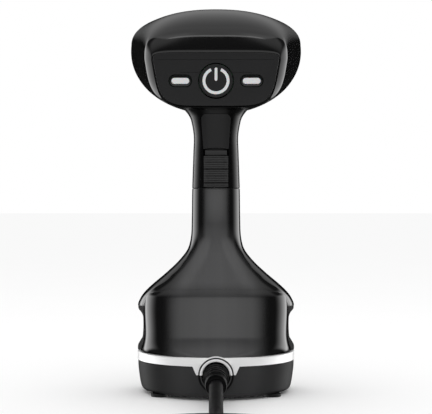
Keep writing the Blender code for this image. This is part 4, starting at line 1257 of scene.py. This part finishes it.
def make_panel():
    back = high("control_panel").y
    fascia = skin("panel_fascia", stack(panel_ring, PANEL_REAR, back, 3, 0.0005, 0.0))
    outside, groove_back = -0.060, PANEL_REAR + 0.0004
    hole = [(0, BUTTON_HOLE), (0.03, BUTTON_HOLE)]
    cut(fascia, turned(hole, (0, outside, BUTTON.z), (0, 1, 0), count=128))
    cut(fascia, box((-0.046, outside, 0.2707), (0.046, groove_back, 0.2711)))
    for side in ("left", "right"):
        spot = centre(f"{side}_lamp_lens")
        middle = (spot.x, spot.z)
        outward = math.copysign(1.0, spot.x)
        cut(fascia, prism(pill(*LAMP_POCKET), outside, -0.03, middle=middle))
        ends = sorted((outward * 0.0125, spot.x))
        cut(fascia, box((ends[0], outside, 0.2604), (ends[1], groove_back, 0.2609)))
        rim = prism(pill(*LAMP_RIM), PANEL_REAR + 0.0003, back, f"{side}_lamp_surround", middle, 0.0003)
        cut(rim, prism(pill(*LAMP_OPENING), outside, -0.03, middle=middle))
        place(rim, inner_black, f"{side}_lamp_rim")
        lens = prism(pill(*LAMP_LENS), PANEL_REAR, -0.0430, f"{side}_mode_light", middle, 0.0005)
        place(lens, white_light, f"{side}_lamp_lens")
    place(fascia, panel_black, "control_panel")

    front = low("power_symbol_ring").y + 0.0001
    profile = rounded([(0, BUTTON_RADIUS), (0.0040, BUTTON_RADIUS)], 0.0006)
    button = turned(profile, (0, front + 0.0040, BUTTON.z), (0, -1, 0), "round_power_button", 128)
    middle = (0.0, BUTTON.z)
    arc = symbol_arc(0.0107, 0.0084, math.radians(24))
    bar = pill(0.00525, 0.0011, 8)
    bar = [(z, x + 0.00525) for x, z in bar][::-1]
    slot = symbol_arc(0.01075, 0.00835, math.radians(23.7))
    cut(button, prism(slot, -0.06, front + 0.0012, middle=middle))
    cut(button, box((-0.00115, -0.06, BUTTON.z - 0.00005), (0.00115, front + 0.0012, BUTTON.z + 0.01055)))
    place(button, panel_black, "power_button")
    for node, outline in (("power_symbol_ring", arc), ("power_symbol_bar", bar)):
        mark = prism(outline, front - 0.0001, front + 0.0010, f"{node}_light", middle)
        place(mark, white_light, node)


def symbol_arc(outer, inner, half_gap):
    """Ring in X and Z that is open at its top."""
    steps = 64
    angles = [math.pi / 2 + half_gap + (2 * math.pi - 2 * half_gap) * i / steps for i in range(steps + 1)]
    return [polar(a, outer) for a in angles] + [polar(a, inner) for a in reversed(angles)]


# Pieces that keep their CAD shape ----

KEPT_LOOKS = {
    "base_deck": satin_black,
    "tank_nozzle": ivory,
    "valve_socket": soft_black,
    "inlet_hose": silicone,
    "riser_hose": silicone,
    "pump": ivory,
    "power_board": green_board,
    "panel_board": green_board,
    "cord_clamp": ivory,
    "power_switch": ivory,
    "microswitch": ivory,
    "trigger_pin": plain_steel,
    "steam_chamber": chamber_metal,
    "chamber_inlet": inlet_brass,
    "heating_element": plain_steel,
    "thermostat": ivory,
    "thermal_fuse": plain_steel,
}


def keep_cad_pieces():
    for node, look in KEPT_LOOKS.items():
        mesh = frame["nodes"][node].data
        mesh.materials.clear()
        mesh.materials.append(look)
        smooth(mesh, 35)


# Studio ----


class Surround(Graph):
    """World shader drawn from the direction of view: azimuth is measured from -Y, 0 to pi."""

    def __init__(self, tree):
        super().__init__(tree)
        x, y, self.up = self.split(tree.nodes.new("ShaderNodeTexCoord").outputs["Generated"])
        aside = self.math("ABSOLUTE", x)
        self.azimuth = self.math("ARCTAN2", aside, self.math("MULTIPLY", y, -1.0))
        self.elevation = self.math("ARCSINE", self.up)
        ceiling = self.math("MAXIMUM", self.up, 0.001)
        self.ceiling_x = self.math("DIVIDE", aside, ceiling)
        self.ceiling_y = self.math("DIVIDE", y, ceiling)

    def rise(self, value, start, end, top=1.0):
        """0 below start, easing to top above end; the other way round where end is below start."""
        if end < start:
            return self.eased(value, top, 0.0, end, start)
        return self.eased(value, 0.0, top, start, end)

    def turned(self, start, end, top=1.0):
        """The same by azimuth, in degrees."""
        return self.rise(self.azimuth, math.radians(start), math.radians(end), top)

    def raised(self, start, end):
        """The same by elevation, in degrees."""
        return self.rise(self.elevation, math.radians(start), math.radians(end))

    def product(self, *values):
        return self.total("MULTIPLY", *values)

    def background(self, strength):
        return self.node("ShaderNodeBackground", Color=(1.0, 1.0, 1.0, 1.0), Strength=strength).outputs[0]

    def switch(self, test, otherwise, chosen):
        mix = self.node("ShaderNodeMixShader", Fac=test)
        self.put(mix.inputs[1], otherwise)
        self.put(mix.inputs[2], chosen)
        return mix.outputs[0]


def reflected_studio(sky):
    """What gloss mirrors: tall side lights, one overhead, and pale sweeps in front, below and behind."""
    sides = sky.product(
        sky.turned(58, 114, SIDE_GLOW), sky.turned(151, 134), sky.raised(36, 12), sky.raised(-34, -14)
    )
    past_edge = sky.math("SUBTRACT", sky.ceiling_y, OVERHEAD_START)
    slanted_end = sky.math("SUBTRACT", sky.ceiling_x, sky.math("MULTIPLY", past_edge, OVERHEAD_FLARE))
    across = sky.product(sky.rise(slanted_end, 0.19, 0.13), sky.rise(sky.up, 0.0, 0.05))
    overhead = sky.product(
        sky.rise(past_edge, 0.0, 0.03, OVERHEAD_GLOW), sky.rise(sky.ceiling_y, 4.0, -0.3), across
    )
    edge = sky.product(
        sky.rise(past_edge, -0.06, -0.02, EDGE_GLOW), sky.rise(past_edge, 0.10, 0.02), across
    )
    haze = sky.product(
        sky.turned(1, 10, HAZE_GLOW), sky.turned(95, 60), sky.raised(8, 55), sky.raised(76, 60)
    )
    front = sky.product(sky.turned(34, 4, FRONT_GLOW), sky.raised(12, -4))
    behind = sky.product(sky.turned(150, 168, BEHIND_GLOW), sky.raised(-8, -13), sky.raised(-60, -45))
    room = sky.turned(150, 100, ROOM_GLOW)
    return sky.total("ADD", sides, overhead, edge, haze, front, behind, room, DIM)


SIDE_GLOW = 3.0
OVERHEAD_GLOW = 0.85
EDGE_GLOW = 2.2
HAZE_GLOW = 0.6
FRONT_GLOW = 0.9
BEHIND_GLOW = 0.4
ROOM_GLOW = 0.10
DIM = 0.01
FILL_GLOW = 1.0
OVERHEAD_START = -0.62     # front edge of the overhead light, as y over height
OVERHEAD_FLARE = 0.55      # widening of the overhead light towards +Y


def make_studio():
    floor_mesh = bpy.data.meshes.new("floor")
    reach = 30.0
    corners = [(-reach, -reach, 0), (reach, -reach, 0), (reach, reach, 0), (-reach, reach, 0)]
    floor_mesh.from_pydata(corners, [], [(0, 1, 2, 3)])
    floor = add("floor", floor_mesh)
    floor.visible_glossy = False
    look = Look("floor_white")
    grain = look.noise(6.0, 2.0)
    look.set(Base_Color=look.blend(grain, (0.94, 0.94, 0.94), (0.95, 0.95, 0.95)), Roughness=1.0)
    look.set(Specular_IOR_Level=0.0)
    floor_mesh.materials.append(look.material)

    world = bpy.data.worlds.new("studio")
    world.use_nodes = True
    world.cycles.sampling_method = "NONE"
    bpy.context.scene.world = world
    tree = world.node_tree
    tree.nodes.remove(tree.nodes["Background"])
    sky = Surround(tree)
    path = tree.nodes.new("ShaderNodeLightPath").outputs
    reflected = sky.background(reflected_studio(sky))
    shader = sky.switch(path["Is Glossy Ray"], sky.background(FILL_GLOW), reflected)
    shader = sky.switch(path["Is Camera Ray"], shader, sky.background(1.0))
    tree.links.new(shader, tree.nodes["World Output"].inputs["Surface"])

    lamp = bpy.data.lights.new("top_softbox", "AREA")
    lamp.shape = "RECTANGLE"
    lamp.size = lamp.size_y = 0.9
    lamp.energy = 2.2
    softbox = add("top_softbox", lamp)
    softbox.location = (0.0, -0.15, 1.4)
    softbox.rotation_euler = (Vector((0.0, 0.0, 0.1)) - softbox.location).to_track_quat("-Z", "Y").to_euler()
    softbox.visible_glossy = False


make_cord(make_boot())
make_base()
make_outlet()
make_lower_shells()
make_tank()
make_handle()
make_head()
make_panel()
keep_cad_pieces()
make_studio()
bpy.context.scene.view_settings.view_transform = "Standard"
